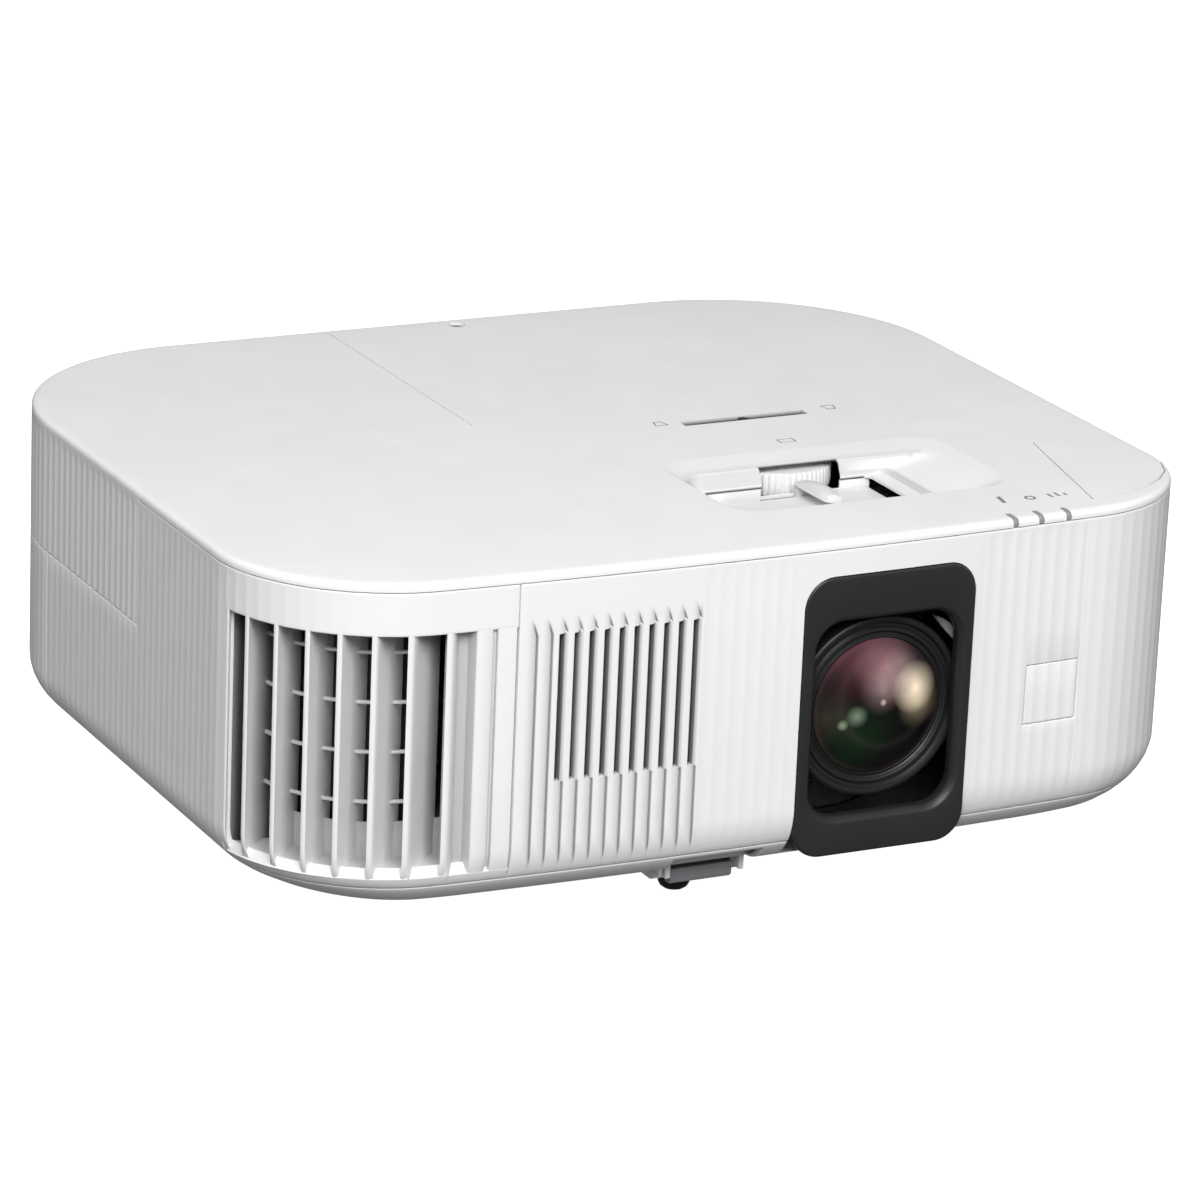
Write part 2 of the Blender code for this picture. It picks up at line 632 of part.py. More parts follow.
def make_keystone_slider():
    low_x, high_x, low_y, high_y = SLIDER_SLOT
    x = (low_x + high_x) / 2
    plate = box("keystone_slider", (x - 28, low_y - 4, 116.4), (x + 28, high_y + 4, 118.5), CHARCOAL,
                pivot=(x, (low_y + high_y) / 2, 118.0))
    return join(plate, slab("slider_knob", x - 4.5, x + 4.5, low_y + 0.5, high_y - 0.5, 117.5, 121.6))


# ---------------------------------------------------------------- light engine, lamp, cooling, boards

def make_light_engine():
    """An L-shaped housing: the lamp's light enters at its left end and leaves through the lens hole."""
    engine = box("light_engine", (-62.0, 46.0, 38.0), (84.0, 98.0, 90.0), MID_GREY)
    join(engine, slab("engine_stem", 0.0, 82.0, -30.0, 50.0, 38.0, 90.0))
    cut(engine, slab("engine_light_path", -58.0, 80.0, 50.0, 94.0, 42.0, 86.0),
        slab("engine_chamber", 4.0, 78.0, -26.0, 60.0, 49.6, 76.4))
    cut(engine, disc("engine_exit", (LENS_X, -28.0, LENS_Z), "Y", 18.0, 12.0, sides=24),
        disc("engine_entry", (-60.0, 72.0, 64.0), "X", 18.0, 12.0, sides=24))
    return engine


def make_prism():
    half = 13.0
    return box("colour_prism", (LENS_X - half, -18.0, LENS_Z - half), (LENS_X + half, 8.0, LENS_Z + half), GLASS)


def make_lcd_panels():
    """Three panels on the prism's left, rear and right sides, joined at their corners."""
    half = 12.0
    panels = box("lcd_panels", (LENS_X - 18, -16, LENS_Z - half), (LENS_X + 18, 12.5, LENS_Z + half), BLACK)
    cut(panels, slab("panel_room", LENS_X - 15, LENS_X + 15, -30.0, 9.5, 0.0, 150.0))


def make_lamp_housing():
    housing = box("lamp_housing", (-138.0, 38.0, 30.0), (-64.0, 106.0, 106.0), BLACK)
    cut(housing, slab("housing_hollow", -134.0, -50.0, 42.0, 102.0, 34.0, 102.0),
        slab("housing_air", -134.0, -70.0, 30.0, 60.0, 50.0, 80.0))
    return housing


def make_lamp():
    """The bowl reflector with the arc tube along its axis."""
    bowl = disc("lamp", (-92.0, 72.0, 64.0), "X", 10.0, 36.0, GLASS, 24, tip=28.0)
    cut(bowl, disc("lamp_bowl_hollow", (-88.0, 72.0, 64.0), "X", 8.0, 34.0, sides=24, tip=28.0))
    return join(bowl, disc("arc_tube", (-98.0, 72.0, 64.0), "X", 4.0, 40.0, sides=10))


def make_fan(name, centre, turn, half, thick, blades):
    """A square fan frame with a spider, and its rotor; turn brings local Z to the fan's axis."""
    spin = Matrix.Rotation(turn, 4, "Z") @ AXES["Y"]
    middle = Matrix.Translation(Vector(centre)) @ spin
    reach = half - 3.0

    def local_block(label, low, high, look=None, spun=0.0, pitch=0.0):
        draft = bmesh.new()
        bmesh.ops.create_cube(draft, size=1.0)
        draft.transform(Matrix.Diagonal((*[b - a for a, b in zip(low, high)], 1.0)))
        draft.transform(Matrix.Rotation(pitch, 4, "X"))
        draft.transform(Matrix.Translation(Vector([(a + b) / 2 for a, b in zip(low, high)])))
        draft.transform(middle @ Matrix.Rotation(spun, 4, "Z"))
        return place(draft, label, look, centre)

    def local_disc(label, low, high, radius, sides, look=None):
        draft = bmesh.new()
        bmesh.ops.create_cone(draft, cap_ends=True, segments=sides, radius1=radius, radius2=radius,
                              depth=high - low)
        draft.transform(middle @ Matrix.Translation((0.0, 0.0, (low + high) / 2)))
        return place(draft, label, look, centre)

    frame = local_block(name + "_frame", (-half, -half, -thick / 2), (half, half, thick / 2), BLACK)
    cut(frame, local_disc(name + "_bore", -thick, thick, reach, 28))
    for angle in (math.pi / 4, -math.pi / 4):
        join(frame, local_block(name + "_spider_%+.1f" % angle, (-half + 1, -1.5, thick / 2 - 2.5),
                                (half - 1, 1.5, thick / 2), spun=angle * 0 + angle))
    rotor = local_disc(name + "_rotor", -thick / 2 + 1, thick / 2 - 3.2, 13.0, 16, BLACK)
    for index in range(blades):
        join(rotor, local_block(name + "_blade_%d" % index, (11.0, -6.0, -thick / 2 + 5.0),
                                (reach - 1.2, 6.0, -thick / 2 + 6.4), spun=2 * math.pi * index / blades,
                                pitch=math.radians(32.0)))
    return frame, rotor


def make_boards():
    board = box("main_board", (-58.0, 112.0, 24.0), (96.0, 113.6, 112.0), BOARD)
    join(board, slab("main_chip", 20.0, 48.0, 106.0, 112.8, 70.0, 96.0),
         slab("main_shield", -40.0, -10.0, 108.0, 112.8, 40.0, 80.0))
    supply = box("power_supply", (96.0, -40.0, 19.0), (122.0, 84.0, 20.6), BOARD)
    join(supply, slab("supply_coil", 100.0, 118.0, 50.0, 74.0, 20.0, 50.0),
         slab("supply_sink", 100.0, 116.0, -30.0, 30.0, 20.0, 58.0))


def make_speaker():
    cabinet = box("speaker", (112.0, -112.0, 34.0), (146.0, -68.0, 96.0), BLACK)
    cone = disc("speaker_cone", (129.0, -112.0, 65.0), "Y", 8.0, 14.0, sides=24, tip=8.0)
    return cut(cabinet, disc("speaker_dish", (129.0, -111.0, 65.0), "Y", 15.0, 8.0, sides=24, tip=6.0), cone)


# ---------------------------------------------------------------- small pieces on the outside

def make_light_pipes():
    for name, x in zip(("power_light", "lamp_light", "heat_light"), LAMP_SLOTS_X):
        front = -DEPTH / 2 + bow(x)
        box(name, (x - 1.0, front + 0.1, SEAM_Z + GAP), (x + 1.0, -127.3, HEIGHT - 0.1), LIGHT_GREY)


def make_cover_screw():
    screw = disc("lamp_cover_screw", (-WIDTH / 2 + 1.6, 62.0, 85.5), "X", 3.9, 2.6, STEEL, 20)
    cut(screw, slab("cover_screw_slot", -FAR, -WIDTH / 2 + 1.2, 61.4, 62.6, 82.6, 88.4))


def make_feet():
    x, y = FOOT_AXIS
    housing = box("foot_bracket", (x - 13.7, y - 9.7, 8.0), (x + 17.7, y + 9.7, 34.0), WHITE)
    cut(housing, disc("foot_bore", (x, y, 20.0), "Z", 6.6, 60.0, sides=20),
        slab("lever_slot", x - 7.0, x + 18.6, y - 12.0, y - 7.2, 0.0, 16.0))
    disc("front_foot", (x, y, 35.0), "Z", 6.2, 60.0, LIGHT_GREY, 20, pivot=(x, y, 5.0))
    rounded(disc("front_foot_tip", (x, y, 2.35), "Z", 8.5, 4.7, RUBBER, 20, pivot=(x, y, 0.0)), 0.6, 1)
    lever = box("foot_lever", (x - 6.4, y - 11.6, 6.0), (x + 16.4, y - 7.6, 13.0), LIGHT_GREY,
                pivot=(x + 5.0, y - 8.0, 12.5))
    rounded(lever, 0.8, 1)
    for side, (foot_x, foot_y) in REAR_FEET.items():
        foot = disc("rear_foot_" + side, (foot_x, foot_y, 3.0), "Z", 9.5, 6.0, RUBBER, 20,
                    pivot=(foot_x, foot_y, 0.0))
        join(foot, disc("foot_stud_" + side, (foot_x, foot_y, 15.5), "Z", 4.1, 24.0, sides=16))


def main():
    make_lower_case()
    make_left_panel()
    make_front_panel()
    make_upper_case()
    make_lamp_cover()
    make_exhaust_grille()
    make_exhaust_louver()
    make_bezel()
    make_receiver_window()
    make_terminal_panel()
    for name, sides in PORTS.items():
        make_port(name, *sides)
    make_audio_jack()
    make_power_inlet()
    make_control_panel()
    for name, place_and_size in BUTTONS.items():
        make_button(name, *place_and_size)
    make_filter_cover()
    make_air_filter()
    make_lens_barrel()
    make_glass("front_lens", -123.0, 21.6, 7.5, 3.0)
    make_glass("rear_lens", -54.0, 18.6, 1.0, 2.5)
    make_focus_ring()
    make_zoom_ring()
    make_lens_top_cover()
    make_lens_carriage()
    make_shift_guide()
    make_shift_dial()
    make_shift_screw()
    make_keystone_slider()
    make_light_engine()
    make_prism()
    make_lcd_panels()
    make_lamp_housing()
    make_lamp()
    make_fan("exhaust_fan", (-96.0, -66.0, 68.0), math.radians(-45.0), 36.0, 18.0, 7)
    make_fan("intake_fan", (141.0, 0.0, 67.0), math.radians(90.0), 34.0, 18.0, 7)
    make_boards()
    make_speaker()
    make_light_pipes()
    make_cover_screw()
    make_feet()


main()
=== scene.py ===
"""Looks of the home projector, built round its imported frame.

Everything is drawn in millimetres in the row frame (+X to the viewer's right facing the lens, -Y out of
the front, +Z up) and turned into metres when a piece is made.
"""
import math

import bmesh
import bpy
from mathutils import Matrix, Vector
from mathutils.geometry import delaunay_2d_cdt


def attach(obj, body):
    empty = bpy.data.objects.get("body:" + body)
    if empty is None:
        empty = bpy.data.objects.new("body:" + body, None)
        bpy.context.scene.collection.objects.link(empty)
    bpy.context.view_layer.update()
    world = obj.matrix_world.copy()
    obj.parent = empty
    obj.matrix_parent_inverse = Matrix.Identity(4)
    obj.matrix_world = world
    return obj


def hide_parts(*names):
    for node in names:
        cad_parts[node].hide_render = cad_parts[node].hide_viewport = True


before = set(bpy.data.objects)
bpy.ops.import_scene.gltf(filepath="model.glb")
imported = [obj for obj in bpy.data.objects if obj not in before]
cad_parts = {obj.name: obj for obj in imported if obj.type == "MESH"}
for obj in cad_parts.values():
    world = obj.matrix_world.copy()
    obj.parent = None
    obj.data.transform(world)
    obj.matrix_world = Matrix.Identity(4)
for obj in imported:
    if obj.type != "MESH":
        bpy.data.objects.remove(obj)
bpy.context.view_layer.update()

MM = 0.001
PI = math.pi

# ---------------------------------------------------------------- the case's form

HALF_W, HALF_D = 166.5, 137.5
FRONT_R, REAR_R = 52.5, 74.0
BOW = 7.2
BASE_Z, CURVE_Z, BASE_INSET = 14.0, 34.0, 16.0
PAN_Z = 22.0
SEAM_Z = 119.0
TOP_Z = 122.0
GAP = 0.3
LID_GAP = 0.36
WALL_TOP = SEAM_Z - LID_GAP / 2
PART_X = -88.2
COVER_X, COVER_Z, COVER_SIDE_Y, COVER_TOP_Y = -35.0, 77.0, -18.9, 14.4
WALL = 2.6                   # thickness

RIGHT_R = 46.5               # the front corner at the right turns a little tighter
STRAIGHT = HALF_W - FRONT_R
FRONT_ARC = FRONT_R * PI / 2
SIDE = 2 * HALF_D - FRONT_R - REAR_R
REAR_ARC = REAR_R * PI / 2
SIDE_START = STRAIGHT + FRONT_ARC
REAR_START = SIDE_START + SIDE
BACK_START = REAR_START + REAR_ARC
HALF_ROUND = BACK_START + HALF_W - REAR_R

PITCH = 5.07                 # of the ribs all round the case
GROOVE_X0 = -73.7            # middle of the first slotted groove
GROOVES = range(-2, 10)
GROOVE_DEPTH = 1.5
GROOVE_EDGES = (-1.4, 1.9)   # where one starts and where it steps back out, from its middle
GROOVE_END_X = -26.0
SLOT_Z = (53.4, 101.5)
RIB_DEPTH = 0.34

LENS_X, LENS_Z = 41.0, 63.0
GLASS_R = 22.5
SHROUD_R = 34.2              # of the round opening the barrel sits in
PLATE_Z = (111.2, 112.1)     # of the plate under the zoom lever
BEZEL = (10.0, 71.8, 16.3, 110.0)
BEZEL_HOLE = (15.5, 67.0, 29.0, 94.5)
BEZEL_R = 10.0
RECEIVER = (93.5, 113.6, 51.2, 71.6)
VENT_REAR_U = -187.7
VENT_Z = (26.0, 105.0)
# Of each fin: distance along the wall from the left-hand corner's end, depth, and the painted shade on its face at each
# depth
FINS = ((9.3, 16.0, ((2.0, 0.0), (6.0, 0.3), (10.0, 0.7), (14.0, 0.9))),
        (19.2, 26.0, ((7.0, 0.0), (13.0, 0.3), (19.0, 0.75), (25.0, 0.92))),
        (30.8, 20.5, ((10.0, 0.0), (16.0, 0.25), (20.5, 0.65))),
        (41.6, 21.5, ((14.0, 0.0), (18.0, 0.15), (21.5, 0.4))),
        (51.7, 23.0, ((15.0, 0.0), (20.0, 0.12), (23.0, 0.35))),
        (62.2, 23.5, ((15.0, 0.0), (20.5, 0.12), (23.5, 0.35))),
        (73.2, 24.0, ((15.0, 0.0), (21.0, 0.12), (24.0, 0.35))),
        (85.7, 5.0, ((0.5, 0.0), (5.0, 0.3))))

DISH_FLOOR_Z = 116.0
# Height above the recess's floor, and the left, right, front and rear of the outline at that height, with its corners
DISH_LEVELS = ((0.0, 9.0, 79.3, -99.5, -60.0, 3.0), (0.25, 8.7, 79.45, -99.7, -59.85, 3.2),
               (1.4, 7.6, 80.9, -100.1, -59.35, 3.8), (1.6, 7.4, 82.4, -100.2, -59.25, 4.2),
               (2.6, 6.7, 87.6, -100.5, -58.8, 5.2), (3.6, 5.9, 92.3, -100.9, -58.3, 6.4),
               (4.6, 5.1, 97.0, -101.2, -57.7, 7.8), (5.1, 4.7, 99.6, -101.4, -57.0, 8.8),
               (5.4, 4.2, 101.6, -101.6, -52.6, 9.8), (5.7, 3.7, 103.6, -101.8, -48.2, 10.8),
               (5.9, 3.3, 105.2, -101.9, -45.2, 11.5), (6.0, 3.0, 106.0, -102.0, -43.5, 12.0))
DISH_HOLE = (12.6, 74.3, -99.0, -60.0)
NOTCH = (34.4, 63.6, -60.4, -55.2)
DIAL_X, DIAL_Y = 49.0, -38.5
SLIDER_SLOT = (32.4, 78.7, -8.9, -3.5)
LIGHT_X = (85.9, 95.6, 106.0)
TOP_SCREW = (12.4, 129.5, 3.2)
FOOT_X, FOOT_Y = -16.0, -107.0


def bow(x):
    return BOW * (x / HALF_W) ** 2


def plan(u, inset=0.0):
    """The point of the outer wall, moved in by inset, at a distance u round the case from the lens side's
    middle: positive to the right, past the rear's middle beyond HALF_ROUND."""
    if u > HALF_ROUND:
        u -= 2 * HALF_ROUND
    s = abs(u)
    if s < STRAIGHT:
        x, y = s, inset - HALF_D
    elif s < SIDE_START:
        radius = FRONT_R if u < 0 else RIGHT_R
        run = FRONT_R - radius
        along = (s - STRAIGHT) / FRONT_ARC * (2 * run + radius * PI / 2) - run
        a, reach = min(PI / 2, max(0.0, along / radius)), radius - inset
        x = HALF_W - radius + reach * math.sin(a) + min(0.0, along)
        y = radius - HALF_D - reach * math.cos(a) + max(0.0, along - radius * PI / 2)
    elif s < REAR_START:
        x, y = HALF_W - inset, FRONT_R - HALF_D + s - SIDE_START
    elif s < BACK_START:
        a, reach = (s - REAR_START) / REAR_R, REAR_R - inset
        x, y = HALF_W - REAR_R + reach * math.cos(a), HALF_D - REAR_R + reach * math.sin(a)
    else:
        x, y = HALF_ROUND - s, HALF_D - inset
    return math.copysign(x, u), y + bow(x) * max(0.0, -y / HALF_D)


def side_u(y):
    """Where on the right-hand wall y is; minus this on the left-hand wall."""
    return SIDE_START + HALF_D - FRONT_R + y


def back_u(x):
    return HALF_ROUND - x


def blend(low, high, value):
    t = min(1.0, max(0.0, (value - low) / (high - low)))
    return t * t * (3 - 2 * t)


def base_inset(u):
    """How far in the wall's foot is: more at the sides than at the front."""
    s = abs(u) if u <= HALF_ROUND else 2 * HALF_ROUND - u
    return BASE_INSET + 12.0 * blend(100.0, 185.0, s) * (1 - 0.67 * blend(REAR_START, BACK_START, s))


def curl(z, u):
    """How far the wall has curved in at z."""
    if z >= CURVE_Z:
        return 0.0
    share = min(1.0, (CURVE_Z - z) / (CURVE_Z - BASE_Z))
    return base_inset(u) * (1 - math.sqrt(1 - share * share))


def between(points, value):
    """Straight lines from point to point."""
    if value <= points[0][0]:
        return points[0][1]
    for (a, low), (b, high) in zip(points, points[1:]):
        if value < b:
            return low + (high - low) * (value - a) / (b - a)
    return points[-1][1]


def groove_at(u):
    """The nearest groove of the deep-ribbed field and how far right of its middle u lies."""
    k = round((u - GROOVE_X0 - 0.6) / PITCH)
    return k, u - GROOVE_X0 - k * PITCH


STEP = ((1.9, GROOVE_DEPTH), (1.95, 0.35), (2.1, 0.15), (2.4, 0.04), (2.65, 0.0))


def groove_depth(u, z):
    """Depth below the wall's surface in the deep-ribbed field left of the lens: each groove deepens slowly to the
    right and steps back out. Over the slots only a rounded right-hand edge is left."""
    k, off = groove_at(u)
    if k not in GROOVES or off <= GROOVE_EDGES[0]:
        return 0.0
    start, step = GROOVE_EDGES
    if off <= step:
        deep = GROOVE_DEPTH * ((off - start) / (step - start)) ** 1.6
    else:
        deep = between(STEP, off)
    if k >= 0 and off > 1.0:
        rounded = GROOVE_DEPTH * max(0.0, 1 - (off - 1.0) / 1.3) ** 2
        share = blend(52.4, SLOT_Z[0], z) * (1 - blend(SLOT_Z[1], SLOT_Z[1] + 0.8, z))
        deep += (rounded - deep) * share
    deep *= 1 - min(1.0, max(0.0, z - SLOT_Z[1]) / 5.5)
    return max(0.0, deep - curl(z, u))


def groove_shade(u, z):
    """How little light the grooves' steps and the slots' right-hand edges see."""
    if not PART_X < u < GROOVE_END_X:
        return 0.0
    k, off = groove_at(u)
    if k not in GROOVES:
        return 0.0
    fade = blend(23.0, 28.0, z) * (1 - blend(SLOT_Z[1] + 2.0, SLOT_Z[1] + 5.0, z))
    step = between(((0.6, 0.0), (1.3, 0.10), (1.7, 0.22), (1.9, 0.62), (1.95, 0.62), (2.1, 0.18), (2.3, 0.0)), off)
    if k < 0 or off < 1.0 or not SLOT_Z[0] - 1.0 < z < SLOT_Z[1] + 0.8:
        return step * fade
    share = blend(52.4, SLOT_Z[0], z) * (1 - blend(SLOT_Z[1], SLOT_Z[1] + 0.8, z))
    side = between(((1.0, 0.55), (1.17, 0.35), (1.5, 0.15), (1.9, 0.04), (2.3, 0.0)), off)
    return (step + (side - step) * share) * fade


def lean(u, z):
    """Above the slots the grooves narrow to a point at their left-hand edge: where a line of the mesh goes."""
    if not PART_X < u < GROOVE_END_X or z <= SLOT_Z[1]:
        return u
    k, off = groove_at(u)
    start, step = GROOVE_EDGES
    if k not in GROOVES or not start < off < start + PITCH:
        return u
    moved = 2.1 * min(1.0, (z - SLOT_Z[1]) / 5.5) * (1 - blend(107.0, 111.0, z))
    if off <= step:
        return u - moved * (off - start) / (step - start)
    return u - moved * (start + PITCH - off) / (start + PITCH - step)


def rib_depth(u, z, shift=0.0):
    """Depth of the shallow flutes that cover the rest of the wall."""
    t = ((u - shift - GROOVE_X0) / PITCH + 0.5) % 1.0 - 0.5
    flute = 1 - (2 * t) ** 2
    low = blend(22.0, 33.0, z)
    return RIB_DEPTH * flute * low * (1 - blend(116.0, 118.5, z) * 0.7)


def wall_depth(u, z):
    if PART_X - 0.5 < u < GROOVE_END_X:
        return groove_depth(u, z)
    if -REAR_START < u < PART_X:                   # fainter in the band round the vent
        return rib_depth(u, z) * (0.15 + 0.3 * blend(-118.0, -200.0, u))
    if GROOVE_END_X <= u < BEZEL[0]:
        return rib_depth(u, z) * 0.38 * blend(0.5, 6.0, BEZEL[0] - u)
    if BEZEL[0] <= u < STRAIGHT:
        return rib_depth(u, z, 0.4) * 0.7 * blend(0.5, 6.0, u - BEZEL[1])
    return rib_depth(u, z, 0.4 * (1 - blend(STRAIGHT, SIDE_START, u))) * 0.48


# ---------------------------------------------------------------- materials

def node(tree, kind, **settings):
    made = tree.nodes.new(kind)
    for key, value in settings.items():
        if key in made.inputs:
            made.inputs[key].default_value = value
        else:
            setattr(made, key, value)
    return made


def ramp(tree, source, stops):
    made = tree.nodes.new("ShaderNodeValToRGB")
    points = made.color_ramp.elements
    while len(points) < len(stops):
        points.new(0.5)
    for point, (place, colour) in zip(points, stops):
        point.position = place
        point.color = (*colour, 1.0)
    tree.links.new(source, made.inputs[0])
    return made.outputs[0]


def spread(tree, source, low, high, from_low=0.3, from_high=0.7):
    """A noise value stretched to a range of numbers."""
    made = node(tree, "ShaderNodeMapRange")
    for index, value in ((1, from_low), (2, from_high), (3, low), (4, high)):
        made.inputs[index].default_value = value
    tree.links.new(source, made.inputs[0])
    return made.outputs[0]


def plastic(name, colour, rough, vary=0.03, grain=0.04, grain_scale=2600.0, metallic=0.0, coat=0.0,
            shaded=None):
    """Moulded plastic, rubber or metal: cloudy tone, drifting gloss and a fine pimpled grain. shaded is the colour
    of corners that see no light, where the mesh says so."""
    mat = bpy.data.materials.new(name)
    mat.use_nodes = True
    tree = mat.node_tree
    shader = tree.nodes["Principled BSDF"]
    shader.inputs["Metallic"].default_value = metallic
    shader.inputs["Coat Weight"].default_value = coat
    shader.inputs["Coat Roughness"].default_value = 0.12
    where = tree.nodes.new("ShaderNodeTexCoord").outputs["Object"]

    def noise(scale, detail):
        made = node(tree, "ShaderNodeTexNoise", Scale=scale, Detail=detail)
        tree.links.new(where, made.inputs["Vector"])
        return made.outputs["Fac"]

    cloud = noise(14.0, 3.0)
    low = tuple(c * (1 - vary) for c in colour)
    high = tuple(min(1.0, c * (1 + vary)) for c in colour)
    tone = ramp(tree, cloud, ((0.3, low), (0.7, high)))
    if shaded:
        mix = node(tree, "ShaderNodeMix", data_type="RGBA")
        mark = node(tree, "ShaderNodeAttribute", attribute_name="dark")
        tree.links.new(mark.outputs["Fac"], mix.inputs[0])
        tree.links.new(tone, mix.inputs[6])
        mix.inputs[7].default_value = (*shaded, 1.0)
        tone = mix.outputs[2]
    tree.links.new(tone, shader.inputs["Base Color"])
    tree.links.new(spread(tree, noise(55.0, 4.0), rough - 0.05, rough + 0.06), shader.inputs["Roughness"])
    bump = node(tree, "ShaderNodeBump", Strength=grain, Distance=0.0002)
    tree.links.new(noise(grain_scale, 2.0), bump.inputs["Height"])
    tree.links.new(bump.outputs["Normal"], shader.inputs["Normal"])
    return mat


WHITE = plastic("white_shell", (0.84, 0.845, 0.845), 0.42, vary=0.012, grain=0.05, shaded=(0.05, 0.05, 0.05))
VENT_WHITE = plastic("white_grille", (0.83, 0.835, 0.835), 0.45, vary=0.012, grain=0.05, shaded=(0.03, 0.03, 0.03))
LIGHT_GREY = plastic("light_grey", (0.60, 0.61, 0.62), 0.45, vary=0.03, grain=0.08)
PALE_GREY = plastic("pale_grey", (0.74, 0.745, 0.75), 0.42, vary=0.02, grain=0.06)
LEVER_GREY = plastic("lever_grey", (0.25, 0.25, 0.265), 0.42, vary=0.05, grain=0.1)
MARK_GREY = plastic("mark_grey", (0.24, 0.245, 0.25), 0.5, vary=0.05)
STRIP_GREY = plastic("strip_grey", (0.26, 0.265, 0.27), 0.4, vary=0.05, grain=0.06)
CHARCOAL = plastic("charcoal_bezel", (0.018, 0.018, 0.0185), 0.42, vary=0.08, grain=0.16, grain_scale=1900.0)
BLACK = plastic("black_plastic_part", (0.008, 0.008, 0.009), 0.46, vary=0.15, grain=0.1)
MATT_BLACK = plastic("matt_black", (0.006, 0.006, 0.0065), 0.6, vary=0.2, grain=0.1)
RUBBER = plastic("rubber", (0.012, 0.012, 0.012), 0.75, vary=0.2, grain=0.4, grain_scale=1200.0)
STEEL = plastic("steel", (0.62, 0.62, 0.60), 0.26, vary=0.06, grain=0.06, metallic=1.0)
ALUMINIUM = plastic("aluminium", (0.52, 0.52, 0.53), 0.45, vary=0.07, grain=0.35, grain_scale=900.0, metallic=1.0)
MID_GREY = plastic("mid_grey", (0.25, 0.26, 0.27), 0.5, vary=0.06, grain=0.12)
FOAM = plastic("foam", (0.07, 0.07, 0.078), 0.9, vary=0.3, grain=0.9, grain_scale=700.0)
GOLD = plastic("contacts", (0.75, 0.55, 0.22), 0.25, vary=0.05, metallic=1.0)


def coated_glass_painted_reflections():
    """Dark coated glass with painted reflections: the stack of coated elements behind it is painted plum above, green
    below and straw to the right, with a bright painted highlight at the upper right.
    """
    mat = bpy.data.materials.new("coated_lens_painted_reflections")
    mat.use_nodes = True
    tree = mat.node_tree
    shader = tree.nodes["Principled BSDF"]
    shader.inputs["Roughness"].default_value = 0.42
    shader.inputs["Specular IOR Level"].default_value = 0.25
    shader.inputs["Coat Weight"].default_value = 0.12
    shader.inputs["Coat Roughness"].default_value = 0.3
    where = tree.nodes.new("ShaderNodeTexCoord").outputs["Object"]
    apart = tree.nodes.new("ShaderNodeSeparateXYZ")
    tree.links.new(where, apart.inputs[0])

    def share(output, low, high):
        return spread(tree, apart.outputs[output], 0.0, 1.0, low * MM, high * MM)

    def maths(operation, *values):
        made = node(tree, "ShaderNodeMath", operation=operation)
        for index, value in enumerate(values):
            if isinstance(value, float):
                made.inputs[index].default_value = value
            else:
                tree.links.new(value, made.inputs[index])
        return made.outputs[0]

    across = share("X", LENS_X - GLASS_R, LENS_X + GLASS_R)
    height = share("Z", LENS_Z - GLASS_R, LENS_Z + GLASS_R)

    def far_from(x, z):
        dx = maths("SUBTRACT", across, x)
        dz = maths("SUBTRACT", height, z)
        return maths("SQRT", maths("ADD", maths("MULTIPLY", dx, dx), maths("MULTIPLY", dz, dz)))

    def spot(x, z, size, sharp=2.0):
        """1 in the middle of a soft round patch, 0 outside it."""
        near = maths("SUBTRACT", 1.0, maths("DIVIDE", far_from(x, z), size))
        return maths("POWER", maths("MAXIMUM", near, 0.0), sharp)

    def arc(x, z, radius, width):
        off = maths("DIVIDE", maths("ABSOLUTE", maths("SUBTRACT", far_from(x, z), radius)), width)
        return maths("MAXIMUM", maths("SUBTRACT", 1.0, off), 0.0)

    streak = node(tree, "ShaderNodeTexNoise", Scale=70.0, Detail=2.0, Distortion=0.5)
    tree.links.new(where, streak.inputs["Vector"])
    wisps = spread(tree, streak.outputs["Fac"], 0.7, 1.2)

    colour = None
    # Painted reflections: where each patch lies and the colour it paints
    layers = (
        (spot(0.45, 0.98, 0.44, 1.3), (0.080, 0.020, 0.030)),
        (spot(0.24, 0.84, 0.34, 1.3), (0.035, 0.008, 0.013)),
        (spot(0.54, 0.80, 0.28, 1.5), (0.22, 0.13, 0.14)),
        (spot(0.66, 0.72, 0.22, 1.4), (0.24, 0.18, 0.16)),
        (spot(0.78, 0.62, 0.20, 1.2), (0.95, 0.80, 0.60)),
        (spot(0.82, 0.50, 0.20, 1.4), (0.24, 0.19, 0.12)),
        (spot(0.50, 0.64, 0.20, 1.5), (0.18, 0.12, 0.12)),
        (spot(0.51, 0.55, 0.030, 1.0), (0.45, 0.38, 0.34)),
        (spot(0.31, 0.46, 0.090, 1.2), (0.16, 0.22, 0.15)),
        (spot(0.21, 0.40, 0.045, 1.0), (0.20, 0.26, 0.17)),
        (spot(0.34, 0.28, 0.34, 1.4), (0.004, 0.022, 0.006)),
        (spot(0.10, 0.46, 0.28, 1.5), (0.028, 0.024, 0.016)),
        (arc(0.5, 0.5, 0.485, 0.03), (0.018, 0.008, 0.009)),
        (arc(0.55, 0.57, 0.36, 0.05), (0.012, 0.008, 0.008)),
    )
    for weight, painted_light in layers:
        lit = node(tree, "ShaderNodeMix", data_type="RGBA")
        lit.inputs[6].default_value = (0, 0, 0, 1)
        lit.inputs[7].default_value = (*painted_light, 1)
        tree.links.new(maths("MULTIPLY", weight, wisps), lit.inputs[0])
        if colour is None:
            colour = lit.outputs[2]
            continue
        total = node(tree, "ShaderNodeMix", data_type="RGBA", blend_type="ADD")
        total.inputs[0].default_value = 1.0
        tree.links.new(colour, total.inputs[6])
        tree.links.new(lit.outputs[2], total.inputs[7])
        colour = total.outputs[2]
    tree.links.new(colour, shader.inputs["Base Color"])
    return mat


GLASS = coated_glass_painted_reflections()
INNER_GLASS = plastic("inner_glass", (0.10, 0.12, 0.14), 0.08, vary=0.2, grain=0.0, coat=1.0)


